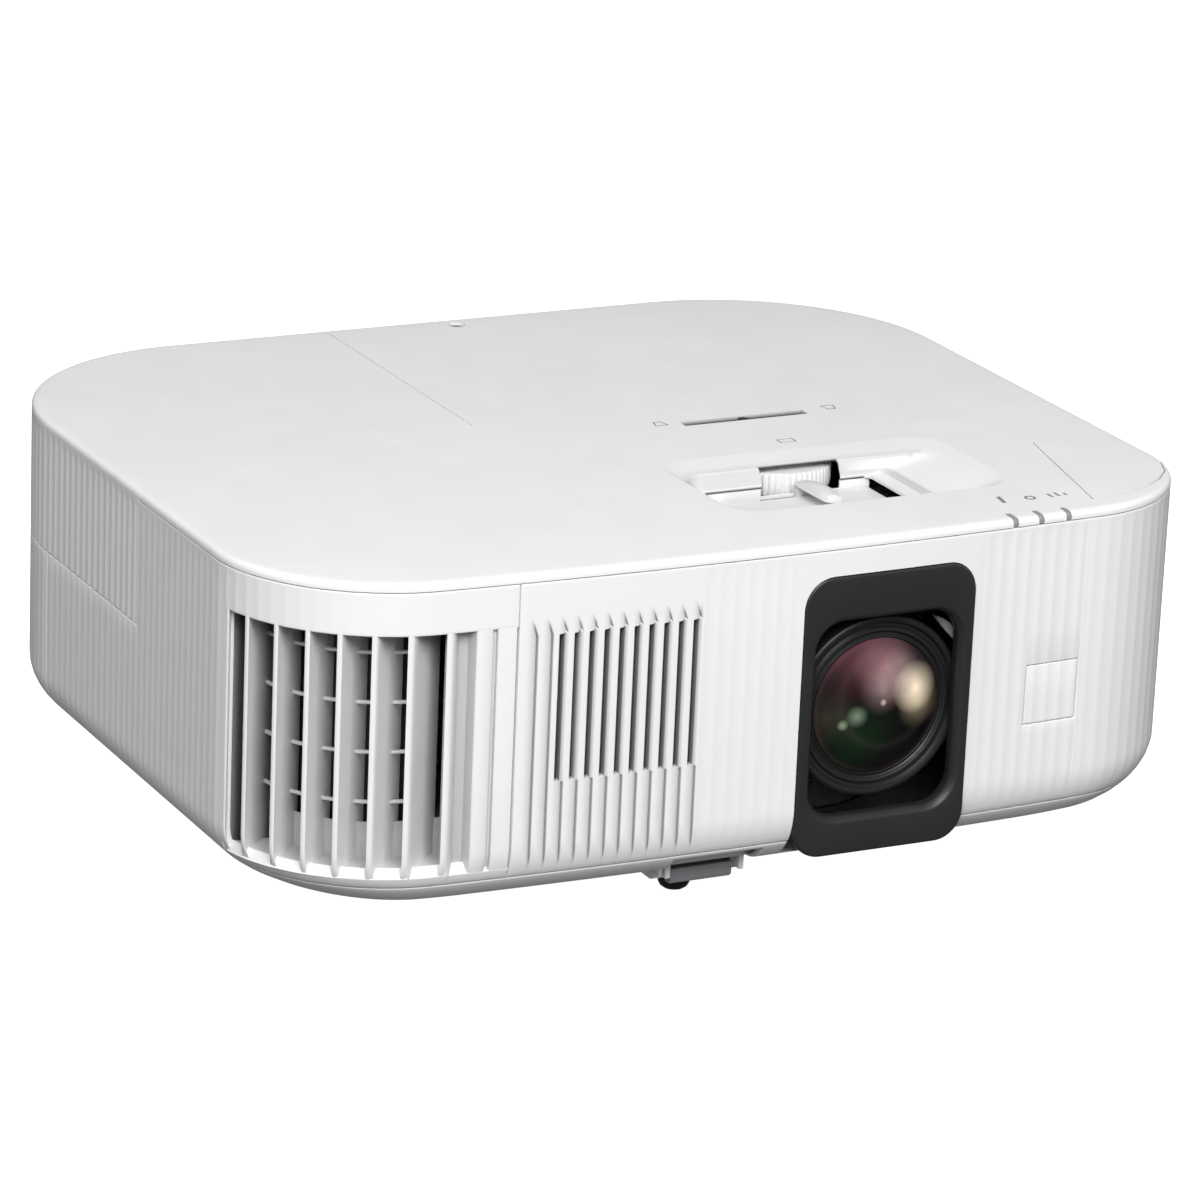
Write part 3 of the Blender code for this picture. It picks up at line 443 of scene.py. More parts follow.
def board():
    """Green lacquer with copper tracks running under it."""
    mat = plastic("board", (0.02, 0.13, 0.055), 0.4, vary=0.12, grain=0.1)
    tree = mat.node_tree
    shader = tree.nodes["Principled BSDF"]
    where = next(n for n in tree.nodes if n.bl_idname == "ShaderNodeTexCoord").outputs["Object"]
    brick = node(tree, "ShaderNodeTexBrick", Scale=160.0)
    brick.inputs["Color1"].default_value = (0.02, 0.12, 0.05, 1)
    brick.inputs["Color2"].default_value = (0.016, 0.10, 0.045, 1)
    brick.inputs["Mortar"].default_value = (0.06, 0.22, 0.07, 1)
    brick.inputs["Mortar Size"].default_value = 0.012
    tree.links.new(where, brick.inputs["Vector"])
    tree.links.new(brick.outputs["Color"], shader.inputs["Base Color"])
    return mat


BOARD = board()


# ---------------------------------------------------------------- making pieces

def dress(obj, mats, body, replaces, sharp=32.0, smooth=True):
    for mat in mats if isinstance(mats, (list, tuple)) else [mats]:
        obj.data.materials.append(mat)
    if smooth:
        obj.data.shade_smooth()
        obj.data.set_sharp_from_angle(angle=math.radians(sharp))
    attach(obj, body)
    if replaces:
        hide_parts(*([replaces] if isinstance(replaces, str) else replaces))
    return obj


def piece(draft, name, mats, body="root", replaces=(), sharp=32.0, smooth=True, heal=False):
    """Turn a bmesh in millimetres into a piece that rides on a body."""
    if heal:
        bmesh.ops.remove_doubles(draft, verts=draft.verts, dist=1e-4)
        bmesh.ops.recalc_face_normals(draft, faces=draft.faces)
    draft.transform(Matrix.Scale(MM, 4))
    mesh = bpy.data.meshes.new(name)
    draft.to_mesh(mesh)
    draft.free()
    obj = bpy.data.objects.new(name, mesh)
    bpy.context.scene.collection.objects.link(obj)
    return dress(obj, mats, body, replaces, sharp, smooth)


def soften(obj, width):
    """Round a piece's edges."""
    bevel = obj.modifiers.new("soften", "BEVEL")
    bevel.width = width * MM
    bevel.segments = 2
    bevel.limit_method = "ANGLE"
    bevel.angle_limit = math.radians(40.0)
    bevel.harden_normals = False
    return obj


def rounded_plan(low_x, high_x, low_y, high_y, radius, steps=6):
    corners = ((high_x - radius, high_y - radius, 0), (low_x + radius, high_y - radius, 90),
               (low_x + radius, low_y + radius, 180), (high_x - radius, low_y + radius, 270))
    points = []
    for x, y, start in corners:
        for step in range(steps + 1):
            angle = math.radians(start + 90.0 * step / steps)
            points.append((x + radius * math.cos(angle), y + radius * math.sin(angle)))
    return points


# The 'dark' layer holds painted shade: how far a vertex's colour goes toward its material's shade colour.
def dark_layer(draft):
    return draft.verts.layers.float.get("dark") or draft.verts.layers.float.new("dark")


def add_sheet(draft, rows, flip=False):
    """An open sheet of four-sided faces between rows of points."""
    made = [[draft.verts.new(point) for point in row] for row in rows]
    for a, b in zip(made, made[1:]):
        for k in range(len(a) - 1):
            quad = (a[k], a[k + 1], b[k + 1], b[k])
            draft.faces.new(quad[::-1] if flip else quad)
    return made


def upright(points, y):
    """Points (x, z) at a depth y."""
    return [(x, y, z) for x, z in points]


def add_loft(draft, rings, cap_start=True, cap_end=True, index=0):
    """A skin over rings of points, closed at its ends unless told otherwise."""
    loops = [[draft.verts.new(point) for point in ring] for ring in rings]
    count = len(loops[0])
    faces = []
    for lower, upper in zip(loops, loops[1:]):
        for k in range(count):
            n = (k + 1) % count
            faces.append(draft.faces.new((lower[k], lower[n], upper[n], upper[k])))
    if cap_start:
        faces.append(draft.faces.new(loops[0][::-1]))
    if cap_end:
        faces.append(draft.faces.new(loops[-1]))
    for face in faces:
        face.material_index = index
    return loops


def add_box(draft, low, high, index=0, chamfer=0.0):
    """A block, with its four edges along Z chamfered where asked."""
    c = chamfer
    ring = [(low[0] + c, low[1]), (high[0] - c, low[1]), (high[0], low[1] + c), (high[0], high[1] - c),
            (high[0] - c, high[1]), (low[0] + c, high[1]), (low[0], high[1] - c), (low[0], low[1] + c)]
    if not c:
        ring = [(low[0], low[1]), (high[0], low[1]), (high[0], high[1]), (low[0], high[1])]
    add_loft(draft, [[(x, y, z) for x, y in ring] for z in (low[2], high[2])], index=index)


def add_turned(draft, centre, profile, axis="Y", sides=64, index=0, closed=False, wobble=None):
    """Turn a profile of (radius, distance along axis) about an axis through centre."""
    rings = []
    for step in range(sides):
        angle = 2 * PI * step / sides
        ring = []
        for k, (radius, along) in enumerate(profile):
            r = radius + (wobble(step, k) if wobble else 0.0)
            a, b = r * math.sin(angle), r * math.cos(angle)
            point = {"Y": (a, along, b), "Z": (a, b, along), "X": (along, a, b)}[axis]
            ring.append(draft.verts.new([p + q for p, q in zip(point, centre)]))
        rings.append(ring)
    count = len(profile)
    for step in range(sides):
        here, after = rings[step], rings[(step + 1) % sides]
        for k in range(count if closed else count - 1):
            n = (k + 1) % count
            if profile[k][0] < 1e-6 and profile[n][0] < 1e-6:
                continue
            face = draft.faces.new((here[k], here[n], after[n], after[k]))
            face.material_index = index


# ---------------------------------------------------------------- the ribbed walls

ROUND_STEPS = (0.0, 0.07, 0.2, 0.4)
ROUND_R = 0.4


LEAST_STEP = 0.03            # between two lines of the wall's mesh
LINES_PER_RIB = 8


def spaced(values, low, high):
    kept = []
    for value in sorted(v for v in values if low - 1e-6 <= v <= high + 1e-6):
        if not kept or value - kept[-1] > LEAST_STEP:
            kept.append(value)
    return kept


def rectangle_gap(u, z, hole):
    across, up = max(hole[0] - u, u - hole[1], 0.0), max(hole[2] - z, z - hole[3], 0.0)
    return math.hypot(across, up)


def wall_lines(region, holes):
    """Where the wall's mesh has its upright and level lines."""
    u0, u1, z0, z1 = region
    us, zs = [u0, u1], [z0, z1]
    first = math.floor((u0 - GROOVE_X0) / PITCH * LINES_PER_RIB)
    last = math.ceil((u1 - GROOVE_X0) / PITCH * LINES_PER_RIB)
    for k in range(first, last + 1):
        u = GROOVE_X0 + PITCH * k / LINES_PER_RIB
        if not PART_X - 0.4 < u < GROOVE_END_X:
            us.append(u)
    if u0 < GROOVE_END_X and u1 > PART_X:
        for k in GROOVES:
            middle = GROOVE_X0 + PITCH * k
            us += [middle + d for d in (-1.4, -1.27, -1.2, -0.6, 0.0, 0.5, 1.0, 1.07, 1.17, 1.3, 1.5, 1.7, 1.9, 1.95,
                                        2.1, 2.3, 2.65, 3.2)]
    for step in ROUND_STEPS:
        us += [u0 + step, u1 - step]
        zs += [z0 + step, z1 - step]
        for hole in holes:
            us += [hole[0] - step, hole[1] + step]
            zs += [hole[2] - step, hole[3] + step]
    zs += [CURVE_Z - (CURVE_Z - BASE_Z) * math.sin(PI / 2 * k / 9) for k in range(10)]
    zs += [24.5, 25.5, 26.5, 27.5, 28.5, 29.5, 31.5, 33.0, 37.0, 48.0, 52.4, 60.0, 72.0, 84.0, 96.0, 102.2, 103.0,
           104.0, 105.0, 106.0, 107.0, 108.0, 109.0, 110.0, 111.0, 116.0, 117.2, 118.0]
    return spaced(us, u0, u1), spaced(zs, z0, z1)


def add_wall(draft, region, holes=(), sharp_holes=(), depth=wall_depth, lip=WALL, open_base=False, set_in=0.0):
    """A ribbed stretch of the case's wall with its edges rounded and turned in. sharp_holes aren't rounded."""
    every_hole = list(holes) + list(sharp_holes)
    us, zs = wall_lines(region, every_hole)
    dark = dark_layer(draft)
    u0, u1, z0, z1 = region

    def inset(u, z):
        near = min([u - u0, u1 - u, z1 - z] + ([] if open_base else [z - z0])
                   + [rectangle_gap(u, z, hole) for hole in holes])
        near = max(0.0, near)
        drop = ROUND_R - math.sqrt(max(0.0, ROUND_R ** 2 - (ROUND_R - near) ** 2)) if near < ROUND_R else 0.0
        return set_in + curl(z, u) + depth(u, z) + drop

    grid, place = {}, {}

    def vertex(i, j):
        if (i, j) not in grid:
            u, z = us[i], zs[j]
            x, y = plan(lean(u, z), inset(u, z))
            grid[i, j] = draft.verts.new((x, y, z))
            place[grid[i, j]] = (u, z)
            grid[i, j][dark] = groove_shade(u, z)
        return grid[i, j]

    faces = []
    for i in range(len(us) - 1):
        for j in range(len(zs) - 1):
            u, z = (us[i] + us[i + 1]) / 2, (zs[j] + zs[j + 1]) / 2
            if any(h[0] < u < h[1] and h[2] < z < h[3] for h in every_hole):
                continue
            faces.append(draft.faces.new((vertex(i, j), vertex(i + 1, j), vertex(i + 1, j + 1), vertex(i, j + 1))))
    inner = {}

    def inside(v):
        if v not in inner:
            u, z = place[v]
            x, y = plan(lean(u, z), inset(u, z) + lip)
            inner[v] = draft.verts.new((x, y, z))
            # Painted shade on the turned-in edges of the unrounded holes
            if any(rectangle_gap(u, z, hole) < 0.02 for hole in sharp_holes):
                inner[v][dark] = 0.85
        return inner[v]

    for face in faces:
        for loop in face.loops:
            edge = loop.edge
            if len(edge.link_faces) != 1:
                continue
            a, b = loop.vert, loop.link_loop_next.vert
            if open_base and place[a][1] == z0 and place[b][1] == z0:
                continue
            inside(a), inside(b)
    for face in faces:
        for loop in list(face.loops):
            a, b = loop.vert, loop.link_loop_next.vert
            if a in inner and b in inner and len(loop.edge.link_faces) == 1:
                if open_base and place[a][1] == z0 and place[b][1] == z0:
                    continue
                draft.faces.new((b, a, inner[a], inner[b]))
    return us


# ---------------------------------------------------------------- flat pieces with holes

def inside_loop(x, y, loop):
    found = False
    for (x0, y0), (x1, y1) in zip(loop, loop[1:] + loop[:1]):
        if (y0 > y) != (y1 > y) and x < (x1 - x0) * (y - y0) / (y1 - y0) + x0:
            found = not found
    return found


def add_plate(draft, loops, keep, height, drop=0.0, chains=(), drop_from=None, shade=None, painted_light=None):
    """Triangles over everything keep(x, y) accepts, with every loop and chain as lines in the mesh, set at
    height(x, y). Open edges are turned down by drop, and shade(x, y) gives the painted shade at their bottom,
    painted_light(x, y) the painted shade on the rest."""
    dark = dark_layer(draft)
    points, edges = [], []
    for loop, closed in [(l, True) for l in loops] + [(c, False) for c in chains]:
        start, count = len(points), len(loop)
        points += [Vector(p) for p in loop]
        edges += [(start + k, start + (k + 1) % count) for k in range(count if closed else count - 1)]
    flat, _, tris, *_ = delaunay_2d_cdt(points, edges, [], 0, 1e-4)
    made = {}

    def vertex(k):
        if k not in made:
            x, y = flat[k]
            made[k] = draft.verts.new((x, y, height(x, y)))
            if painted_light:
                made[k][dark] = painted_light(x, y)
        return made[k]

    faces = []
    for tri in tris:
        x = sum(flat[k].x for k in tri) / 3
        y = sum(flat[k].y for k in tri) / 3
        if keep(x, y):
            faces.append(draft.faces.new([vertex(k) for k in tri]))
    if drop:
        below = {}
        for face in faces:
            for loop in list(face.loops):
                if len(loop.edge.link_faces) != 1:
                    continue
                a, b = loop.vert, loop.link_loop_next.vert
                for v in (a, b):
                    if v not in below:
                        z = v.co.z - drop if drop_from is None else drop_from(v.co.x, v.co.y, v.co.z)
                        below[v] = draft.verts.new((v.co.x, v.co.y, z))
                        if shade:
                            below[v][dark] = shade(v.co.x, v.co.y)
                draft.faces.new((b, a, below[a], below[b]))
    return faces


def inset_of(x, y):
    """How far inside the case's outline a point lies."""
    if y < 0:
        y = y / (1 - bow(x) / HALF_D)
    radius = FRONT_R if x < 0 else RIGHT_R
    x = abs(x)
    if x > HALF_W - radius and y < radius - HALF_D:
        return radius - math.hypot(x - HALF_W + radius, y - radius + HALF_D)
    if x > HALF_W - REAR_R and y > HALF_D - REAR_R:
        return REAR_R - math.hypot(x - HALF_W + REAR_R, y - HALF_D + REAR_R)
    return min(HALF_W - x, HALF_D - abs(y))


CROWN = ((0.0, 119.95), (0.06, 120.45), (0.25, 120.95), (0.6, 121.4), (1.1, 121.68), (1.8, 121.82), (2.8, 121.89),
         (4.5, 121.92), (8.0, 121.94), (16.0, 121.97), (30.0, TOP_Z))


def crown(x, y):
    """Height of the gently domed top at a point."""
    return between(CROWN, inset_of(x, y))


def dish_sides(share):
    high = share * DISH_LEVELS[-1][0]
    return [between([(level[0], level[k]) for level in DISH_LEVELS], high) for k in range(1, 6)]


def in_rounded(x, y, low_x, high_x, low_y, high_y, radius):
    if not (low_x <= x <= high_x and low_y <= y <= high_y):
        return False
    dx = max(low_x + radius - x, x - high_x + radius, 0.0)
    dy = max(low_y + radius - y, y - high_y + radius, 0.0)
    return math.hypot(dx, dy) <= radius + 1e-6


def dish_share(x, y):
    low, high = 0.0, 1.0
    if in_rounded(x, y, *dish_sides(0.0)):
        return 0.0
    for _ in range(22):
        middle = (low + high) / 2
        if in_rounded(x, y, *dish_sides(middle)):
            high = middle
        else:
            low = middle
    return high


def dish_z(x, y):
    share = dish_share(x, y)
    return DISH_FLOOR_Z + (crown(x, y) - DISH_FLOOR_Z) * share


def rect(low_x, high_x, low_y, high_y):
    return [(low_x, low_y), (high_x, low_y), (high_x, high_y), (low_x, high_y)]


def cover_line(x):
    """Front edge of the lamp cover on the top."""
    return COVER_TOP_Y + (COVER_SIDE_Y - COVER_TOP_Y) * (COVER_X - x) / (COVER_X + HALF_W)


def ring_loops(insets):
    """The case's outline at each inset, as points about 4 mm apart."""
    count = int(2 * HALF_ROUND / 4.0)
    return [[plan(-HALF_ROUND + 2 * HALF_ROUND * (k + 0.5) / count, inset) for k in range(count)] for inset in insets]


def channel(points, width):
    """A closed narrow outline along a chain of points."""
    left, right = [], []
    for k, (x, y) in enumerate(points):
        a, b = Vector(points[max(0, k - 1)]), Vector(points[min(len(points) - 1, k + 1)])
        along = (b - a).normalized()
        off = Vector((-along.y, along.x)) * width / 2
        left.append((x + off.x, y + off.y))
        right.append((x - off.x, y - off.y))
    return left + right[::-1]


def make_top():
    """The top cover with its control recess, and the lamp cover beside it."""
    rings = ring_loops([inset for inset, _ in CROWN[:-1]])
    rim = rounded_plan(*dish_sides(1.0), steps=8)
    dish_rings = [rounded_plan(*level[1:], steps=8) for level in DISH_LEVELS[:-1]]
    hole = rounded_plan(*DISH_HOLE, 2.5, steps=4)
    notch = rect(*NOTCH)
    slider = rounded_plan(*SLIDER_SLOT, 0.6, steps=2)
    lights = [rect(x - 1.0, x + 1.0, -150.0, -129.7) for x in LIGHT_X]
    screw = ring_points(*TOP_SCREW, 24)
    seam = channel([(134.6, -62.0), (127.4, -94.0), (120.6, -124.6), (121.6, -126.6), (132.0, -123.8), (144.8, -118.6),
                    (153.5, -112.2), (160.0, -105.0), (165.0, -93.5)], 0.5)
    holes = [hole, notch, slider, screw, seam] + lights

    def side(x, y, margin):
        """Whether a point lies on the lamp cover's side of its seam."""
        return x < COVER_X - margin and y > cover_line(x) + margin * 0.6

    def split_line(margin):
        return [(COVER_X - margin, HALF_D + 5), (COVER_X - margin, cover_line(COVER_X - margin) + margin * 0.6),
                (-HALF_W - 5, cover_line(-HALF_W - 5) + margin * 0.6)]

    def keep_top(x, y):
        if inset_of(x, y) < 0 or side(x, y, 0.0):
            return False
        return not in_rounded(x, y, *dish_sides(1.0)) and not any(inside_loop(x, y, loop) for loop in holes)

    def keep_dish(x, y):
        return (in_rounded(x, y, *dish_sides(1.0)) and not inside_loop(x, y, hole)
                and not inside_loop(x, y, notch))

    def under(x, y, z):
        return SEAM_Z + LID_GAP / 2 if inset_of(x, y) < 0.05 else z - 2.6

    # Painted shade down the slider slot's walls
    def slot_shade(x, y):
        low_x, high_x, low_y, high_y = SLIDER_SLOT
        return 1.5 if low_x - 0.1 < x < high_x + 0.1 and low_y - 0.1 < y < high_y + 0.1 else 0.0

    draft = bmesh.new()
    add_plate(draft, rings + [rim] + holes, keep_top, crown, drop=2.6, chains=[split_line(0.0)], drop_from=under,
              shade=slot_shade)

    def painted_glare_shade(x, y):
        """Painted shade that takes the glare off the recess's steep rear bank and its step at the right."""
        high = dish_share(x, y) * DISH_LEVELS[-1][0]
        steep = between(((0.0, 0.0), (0.25, 1.0), (4.6, 1.0), (5.1, 0.5), (5.4, 0.0)), high)
        if x > 78.0 and y < -58.0:
            return 0.34 * between(((0.0, 0.0), (0.25, 1.0), (1.4, 1.0), (1.6, 0.0)), high)
        return 0.32 * steep

    def lip_shade(x, y):
        """How dark the painted shade on the opening's lip is; its right edge faces the light and gets little."""
        if dish_share(x, y) > 0.99:
            return 0.0
        return 0.25 if x > 72.0 else 1.3

    add_plate(draft, dish_rings + [rim, hole, notch], keep_dish, dish_z, drop=1.1,
              drop_from=lambda x, y, z: TOP_Z if dish_share(x, y) > 0.999 else z - 1.1, shade=lip_shade, painted_light=painted_glare_shade)
    for low_x, high_x in ((DISH_HOLE[0] - 0.4, NOTCH[0] - 0.1), (NOTCH[1] + 0.1, DISH_HOLE[1] + 0.4)):
        add_box(draft, (low_x, -59.8, 109.2), (high_x, -59.0, 114.85))
    add_box(draft, (NOTCH[0] - 0.2, -60.3, PLATE_Z[0]), (NOTCH[1] + 0.2, -59.0, PLATE_Z[1]))
    # The seam's channel floor is painted in shade
    add_plate(draft, [seam], lambda x, y: inside_loop(x, y, seam), lambda x, y: crown(x, y) - 0.4,
              painted_light=lambda x, y: 0.7)
    add_plate(draft, [screw], lambda x, y: inside_loop(x, y, screw), lambda x, y: TOP_Z - 2.05)
    weighted(piece(draft, "upper_case", WHITE, replaces="upper_case", sharp=28.0, heal=True))

    draft = bmesh.new()
    add_plate(draft, rings, lambda x, y: inset_of(x, y) > 0 and side(x, y, GAP), crown, drop=2.0,
              chains=[split_line(GAP)],
              drop_from=lambda x, y, z: 119.4 if inset_of(x, y) < 0.05 else z - 2.2)
    end_u = 2 * HALF_ROUND - side_u(COVER_SIDE_Y + GAP)
    add_wall(draft, (back_u(COVER_X - GAP), end_u, COVER_Z + GAP, 119.95),
             depth=lambda u, z: rib_depth(u, z) * (1 - blend(117.5, 119.5, z)))
    weighted(piece(draft, "lamp_cover", WHITE, "lamp_lid", "lamp_cover", sharp=28.0))


def weighted(obj):
    """Keep the large flat faces' shading flat."""
    step = obj.modifiers.new("weighted", "WEIGHTED_NORMAL")
    step.keep_sharp = True
    step.weight = 80


# ---------------------------------------------------------------- casing pieces

def make_walls():
    draft = bmesh.new()
    left_end = side_u(62.0)
    region = (-left_end + GAP, PART_X - GAP, PAN_Z + GAP, WALL_TOP)
    holes = [(-left_end - 5, -side_u(COVER_SIDE_Y), COVER_Z, 130.0),
             (VENT_REAR_U, PART_X + 5, *VENT_Z)]
    add_wall(draft, region, holes)
    piece(draft, "left_panel", WHITE, replaces="left_panel", sharp=24.0)

    draft = bmesh.new()
    low_x, high_x, low_z, high_z = BEZEL
    region = (PART_X, side_u(-62.0 - GAP), PAN_Z + GAP, WALL_TOP)
    bezel_hole = (low_x - GAP, high_x + GAP, 0.0, high_z + GAP)
    slots = [(GROOVE_X0 + PITCH * k - 1.2, GROOVE_X0 + PITCH * k + 1.0, *SLOT_Z) for k in range(10)]
    add_wall(draft, region, [RECEIVER], slots + [bezel_hole])
    add_bezel_corners(draft, bezel_hole)
    piece(draft, "front_panel", WHITE, replaces="front_panel", sharp=24.0)

    draft = bmesh.new()                            # dust gauze behind the slots
    add_sheet(draft, [[(*plan(x, inset), z) for x in (-79.0, -52.0, -24.5)]
                      for z, inset in ((48.0, 6.0), (106.0, 6.0), (106.0, 6.4), (48.0, 6.4), (48.0, 6.0))])
    piece(draft, "intake_gauze", MID_GREY)

    draft = bmesh.new()
    low_x, high_x, low_z, high_z = RECEIVER
    add_wall(draft, (low_x + GAP, high_x - GAP, low_z + GAP, high_z - GAP), lip=2.0, set_in=0.05)
    piece(draft, "receiver_window", WHITE, replaces="receiver_window", sharp=24.0)

    draft = bmesh.new()
    right_u, left_u = side_u(-62.0), 2 * HALF_ROUND - left_end
    low_x, high_x, _, _ = BEZEL
    region = (-left_end, left_u, BASE_Z, WALL_TOP)
    holes = [(-left_end - 5, right_u, PAN_Z, 130.0),
             (low_x - GAP, high_x + GAP, 16.0, 130.0),
             (FOOT_X - 13.9, FOOT_X + 17.9, 0.0, 20.4),
             (back_u(COVER_X), left_u + 5, COVER_Z, 130.0),
             (side_u(-44.0), side_u(44.0), 32.0, 102.0),
             (back_u(92.0), back_u(-20.0), 26.0, 74.0),
             (back_u(86.0), back_u(-14.0), 82.0, 112.0),
             (back_u(-47.0), back_u(-75.0), 28.0, 50.0)]
    us = add_wall(draft, region, holes, open_base=True)
    add_pan_floor(draft, us)
    piece(draft, "lower_case", WHITE, replaces="lower_case", sharp=24.0)


def add_bezel_corners(draft, hole):
    """Fill the two square upper corners of the bezel's opening out to its round ones."""
    low_x, high_x, _, high_z = hole
    radius = BEZEL_R + GAP
    for corner_x, inward in ((low_x, 1.0), (high_x, -1.0)):
        centre = (corner_x + inward * radius, high_z - radius)
        arc = [(centre[0] - inward * radius * math.cos(PI / 2 * k / 10), centre[1] + radius * math.sin(PI / 2 * k / 10))
               for k in range(11)]

        def at(x, z, back=0.0):
            return draft.verts.new((*plan(x, back), z))

        tip = at(corner_x, high_z)
        front = [at(x, z) for x, z in arc]
        rear = [at(x, z, WALL) for x, z in arc]
        for k in range(10):
            draft.faces.new((tip, front[k], front[k + 1]) if inward > 0 else (tip, front[k + 1], front[k]))
            draft.faces.new((front[k], rear[k], rear[k + 1], front[k + 1]))


def add_pan_floor(draft, us):
    """The flat underside, with a recess for the foot, a raised panel and screw wells."""
    outline = [plan(u, base_inset(u)) for u in us[::4]]
    foot = rect(FOOT_X - 14.2, FOOT_X + 18.2, FOOT_Y - 10.2, FOOT_Y + 10.2)
    wells = [ring_points(x, y, 4.5, 20)
             for x, y in ((-130, -60), (130, -60), (-70, 110), (80, 110), (0, 20), (-110, 20), (110, 30))]
    panels = [rounded_plan(-95, 100, -60, 90, 8.0), rounded_plan(-88, 93, -53, 83, 6.0)]

    def keep(x, y):
        if not inside_loop(x, y, outline) or inside_loop(x, y, foot):
            return False
        return not any(inside_loop(x, y, w) for w in wells)

    def height(x, y):
        return BASE_Z + (0.8 if in_rounded(x, y, -90.5, 95.5, -55.5, 85.5, 7.0) else 0.0)

    faces = add_plate(draft, [outline, foot] + wells + panels, keep, height, drop=-5.0)
    for well in wells:
        faces += add_plate(draft, [well], lambda x, y, w=well: inside_loop(x, y, w), lambda x, y: BASE_Z + 4.0)
    bmesh.ops.reverse_faces(draft, faces=faces)


def make_grille():
    """Upright fins set at 45 degrees round the corner, and the box they stand in, with painted shade deepening into the
    vent.
    """
    low_z, high_z = VENT_Z
    draft = bmesh.new()
    dark = dark_layer(draft)

    # Sets painted shade on rows of vertices
    def darken(loops, shades):
        for loop, values in zip(loops, shades):
            for v, value in zip(loop, values):
                v[dark] = value

    heading = Vector((1.0, 1.0)).normalized()
    across = Vector((-heading.y, heading.x))
    levels = [24.8, 25.6, 26.6, 27.8, 28.8, 30.0, 31.5, 34.0, 50.0, 70.0, 90.0, 96.0, 101.0, high_z + 0.6]
    for place, reach, painted_face_shade in FINS:
        middle = -SIDE_START + place
        root = Vector(plan(middle))
        front = {}
        for offset in (-0.8, -0.45, 0.45, 0.8):
            low, high = middle - 4.0, middle + 4.0
            for _ in range(30):
                half = (low + high) / 2
                if (Vector(plan(half)) - root).dot(across) > offset:
                    low = half
                else:
                    high = half
            front[offset] = (low + high) / 2
        depths = [d for d in (2.0, 4.0, 6.0, 8.0, 10.0, 13.0, 15.0, 17.0, 20.0, 23.0) if d < reach - 0.5] + [reach]
        rings, shades = [], []
        for z in levels:
            tip = curl(z, middle) + (0.1 if z < low_z else 0.0)
            pts, shade = [], []
            for offset, back in ((-0.8, 0.3), (-0.45, 0.03), (0.45, 0.03), (0.8, 0.3)):
                pts.append(Vector(plan(front[offset], tip + back)))
                shade.append(0.0)
            for side, run in ((0.62, depths), (-0.62, depths[::-1])):
                for d in run:
                    start = math.copysign(0.8, side)
                    pts.append(root + heading * max(d, tip + 0.4) + across * (start + (side - start) * d / reach))
                    # Painted shade deepening toward the fin's back, and a painted shadow under the vent's top lip
                    top = 0.45 * blend(97.0, 105.0, z) * blend(1.0, 6.0, d)
                    shade.append(min(1.0, between(painted_face_shade, d) + top))
            rings.append([(p.x, p.y, z) for p in pts])
            shades.append(shade)
        darken(add_loft(draft, rings), shades)
    first, last = VENT_REAR_U + 0.1, PART_X - GAP - 0.1

    def along(end, count):
        return [first + (end - first) * k / count for k in range(count + 1)]

    line = along(last, 60)

    def strip(rows, flip=False):
        """Faces along the vent through rows of (inset, z, painted shade)."""
        made = add_sheet(draft, [[(*plan(u, inset), z) for u in line] for inset, z, _ in rows], flip)
        darken(made, [[shade] * len(line) for _, _, shade in rows])

    # The sill, the roof and the back walls of the vent's box, with painted shade deeper in
    sill = low_z + 0.6
    foot_in = curl(low_z, -150.0)
    strip(((foot_in + 0.05, low_z - 0.4, 0.0), (foot_in + 0.7, sill + 0.2, 0.0), (foot_in + 1.5, sill + 1.6, 0.0),
           (foot_in + 2.0, sill + 2.2, 0.04), (foot_in + 5.0, sill + 1.4, 0.2), (19.0, sill + 0.6, 0.5)))
    strip(((1.6, high_z + 0.3, 0.2), (22.0, high_z, 0.8)), True)
    strip(((18.0, low_z - 1, 0.45), (18.0, 34.0, 0.4), (18.0, 39.0, 0.45)))
    strip(((18.0, 99.0, 0.55), (18.0, high_z + 1, 0.8)))

    # The end jamb, with painted shade at depth
    jamb = add_sheet(draft, [[(*plan(last, inset), z) for inset in (1.5, 18.0)] for z in (low_z - 1, high_z + 1)], True)
    darken(jamb, [(0.0, 0.6)] * 2)
    end = -SIDE_START + FINS[-1][0]
    # The wall beside the last fin steps in and out; the third number of each step is its painted shade
    stepped = [(end + 0.3, 4.6, 0.45), (-103.0, 4.6, 0.42), (-102.2, 0.3, 0.2), (-101.8, 0.06, 0.0), (-97.1, 0.06, 0.0),
               (-96.8, 0.3, 0.1), (-96.6, 1.5, 0.3), (-95.3, 1.5, 0.3), (-95.25, 0.3, 0.2), (-94.9, 0.06, 0.0),
               (-89.1, 0.05, 0.0), (-88.9, 0.3, 0.0), (-88.85, 1.9, 0.5), (last, 1.9, 0.5)]
    levels = (low_z - 1, low_z + 1, low_z + 3, low_z + 5, low_z + 7, 60.0, high_z + 1)
    made = add_sheet(draft, [[(*plan(u, curl(z, u) + inset), z) for u, inset, _ in stepped] for z in levels])
    darken(made, [[value for _, _, value in stepped]] * len(levels))
    piece(draft, "exhaust_grille", VENT_WHITE, replaces="exhaust_grille", sharp=40.0)

    # The louver bars are light grey: painted shade on white plastic
    draft = bmesh.new()
    line = along(end, 44)
    section = ((14.2, -0.3), (14.4, -0.5), (15.4, -0.5), (15.4, 0.5), (14.4, 0.5), (14.2, 0.3))
    for level in (46.7, 63.0, 79.2, 95.4):
        add_loft(draft, [[(*plan(u, inset), level + dz) for inset, dz in section] for u in line])
    piece(draft, "exhaust_louver", LIGHT_GREY, replaces="exhaust_louver", sharp=40.0,
          heal=True)
    draft = bmesh.new()
    add_sheet(draft, [[(*plan(u, 27.0), z) for u in line] for z in (24.0, 112.0)])
    piece(draft, "exhaust_gauze", MATT_BLACK)


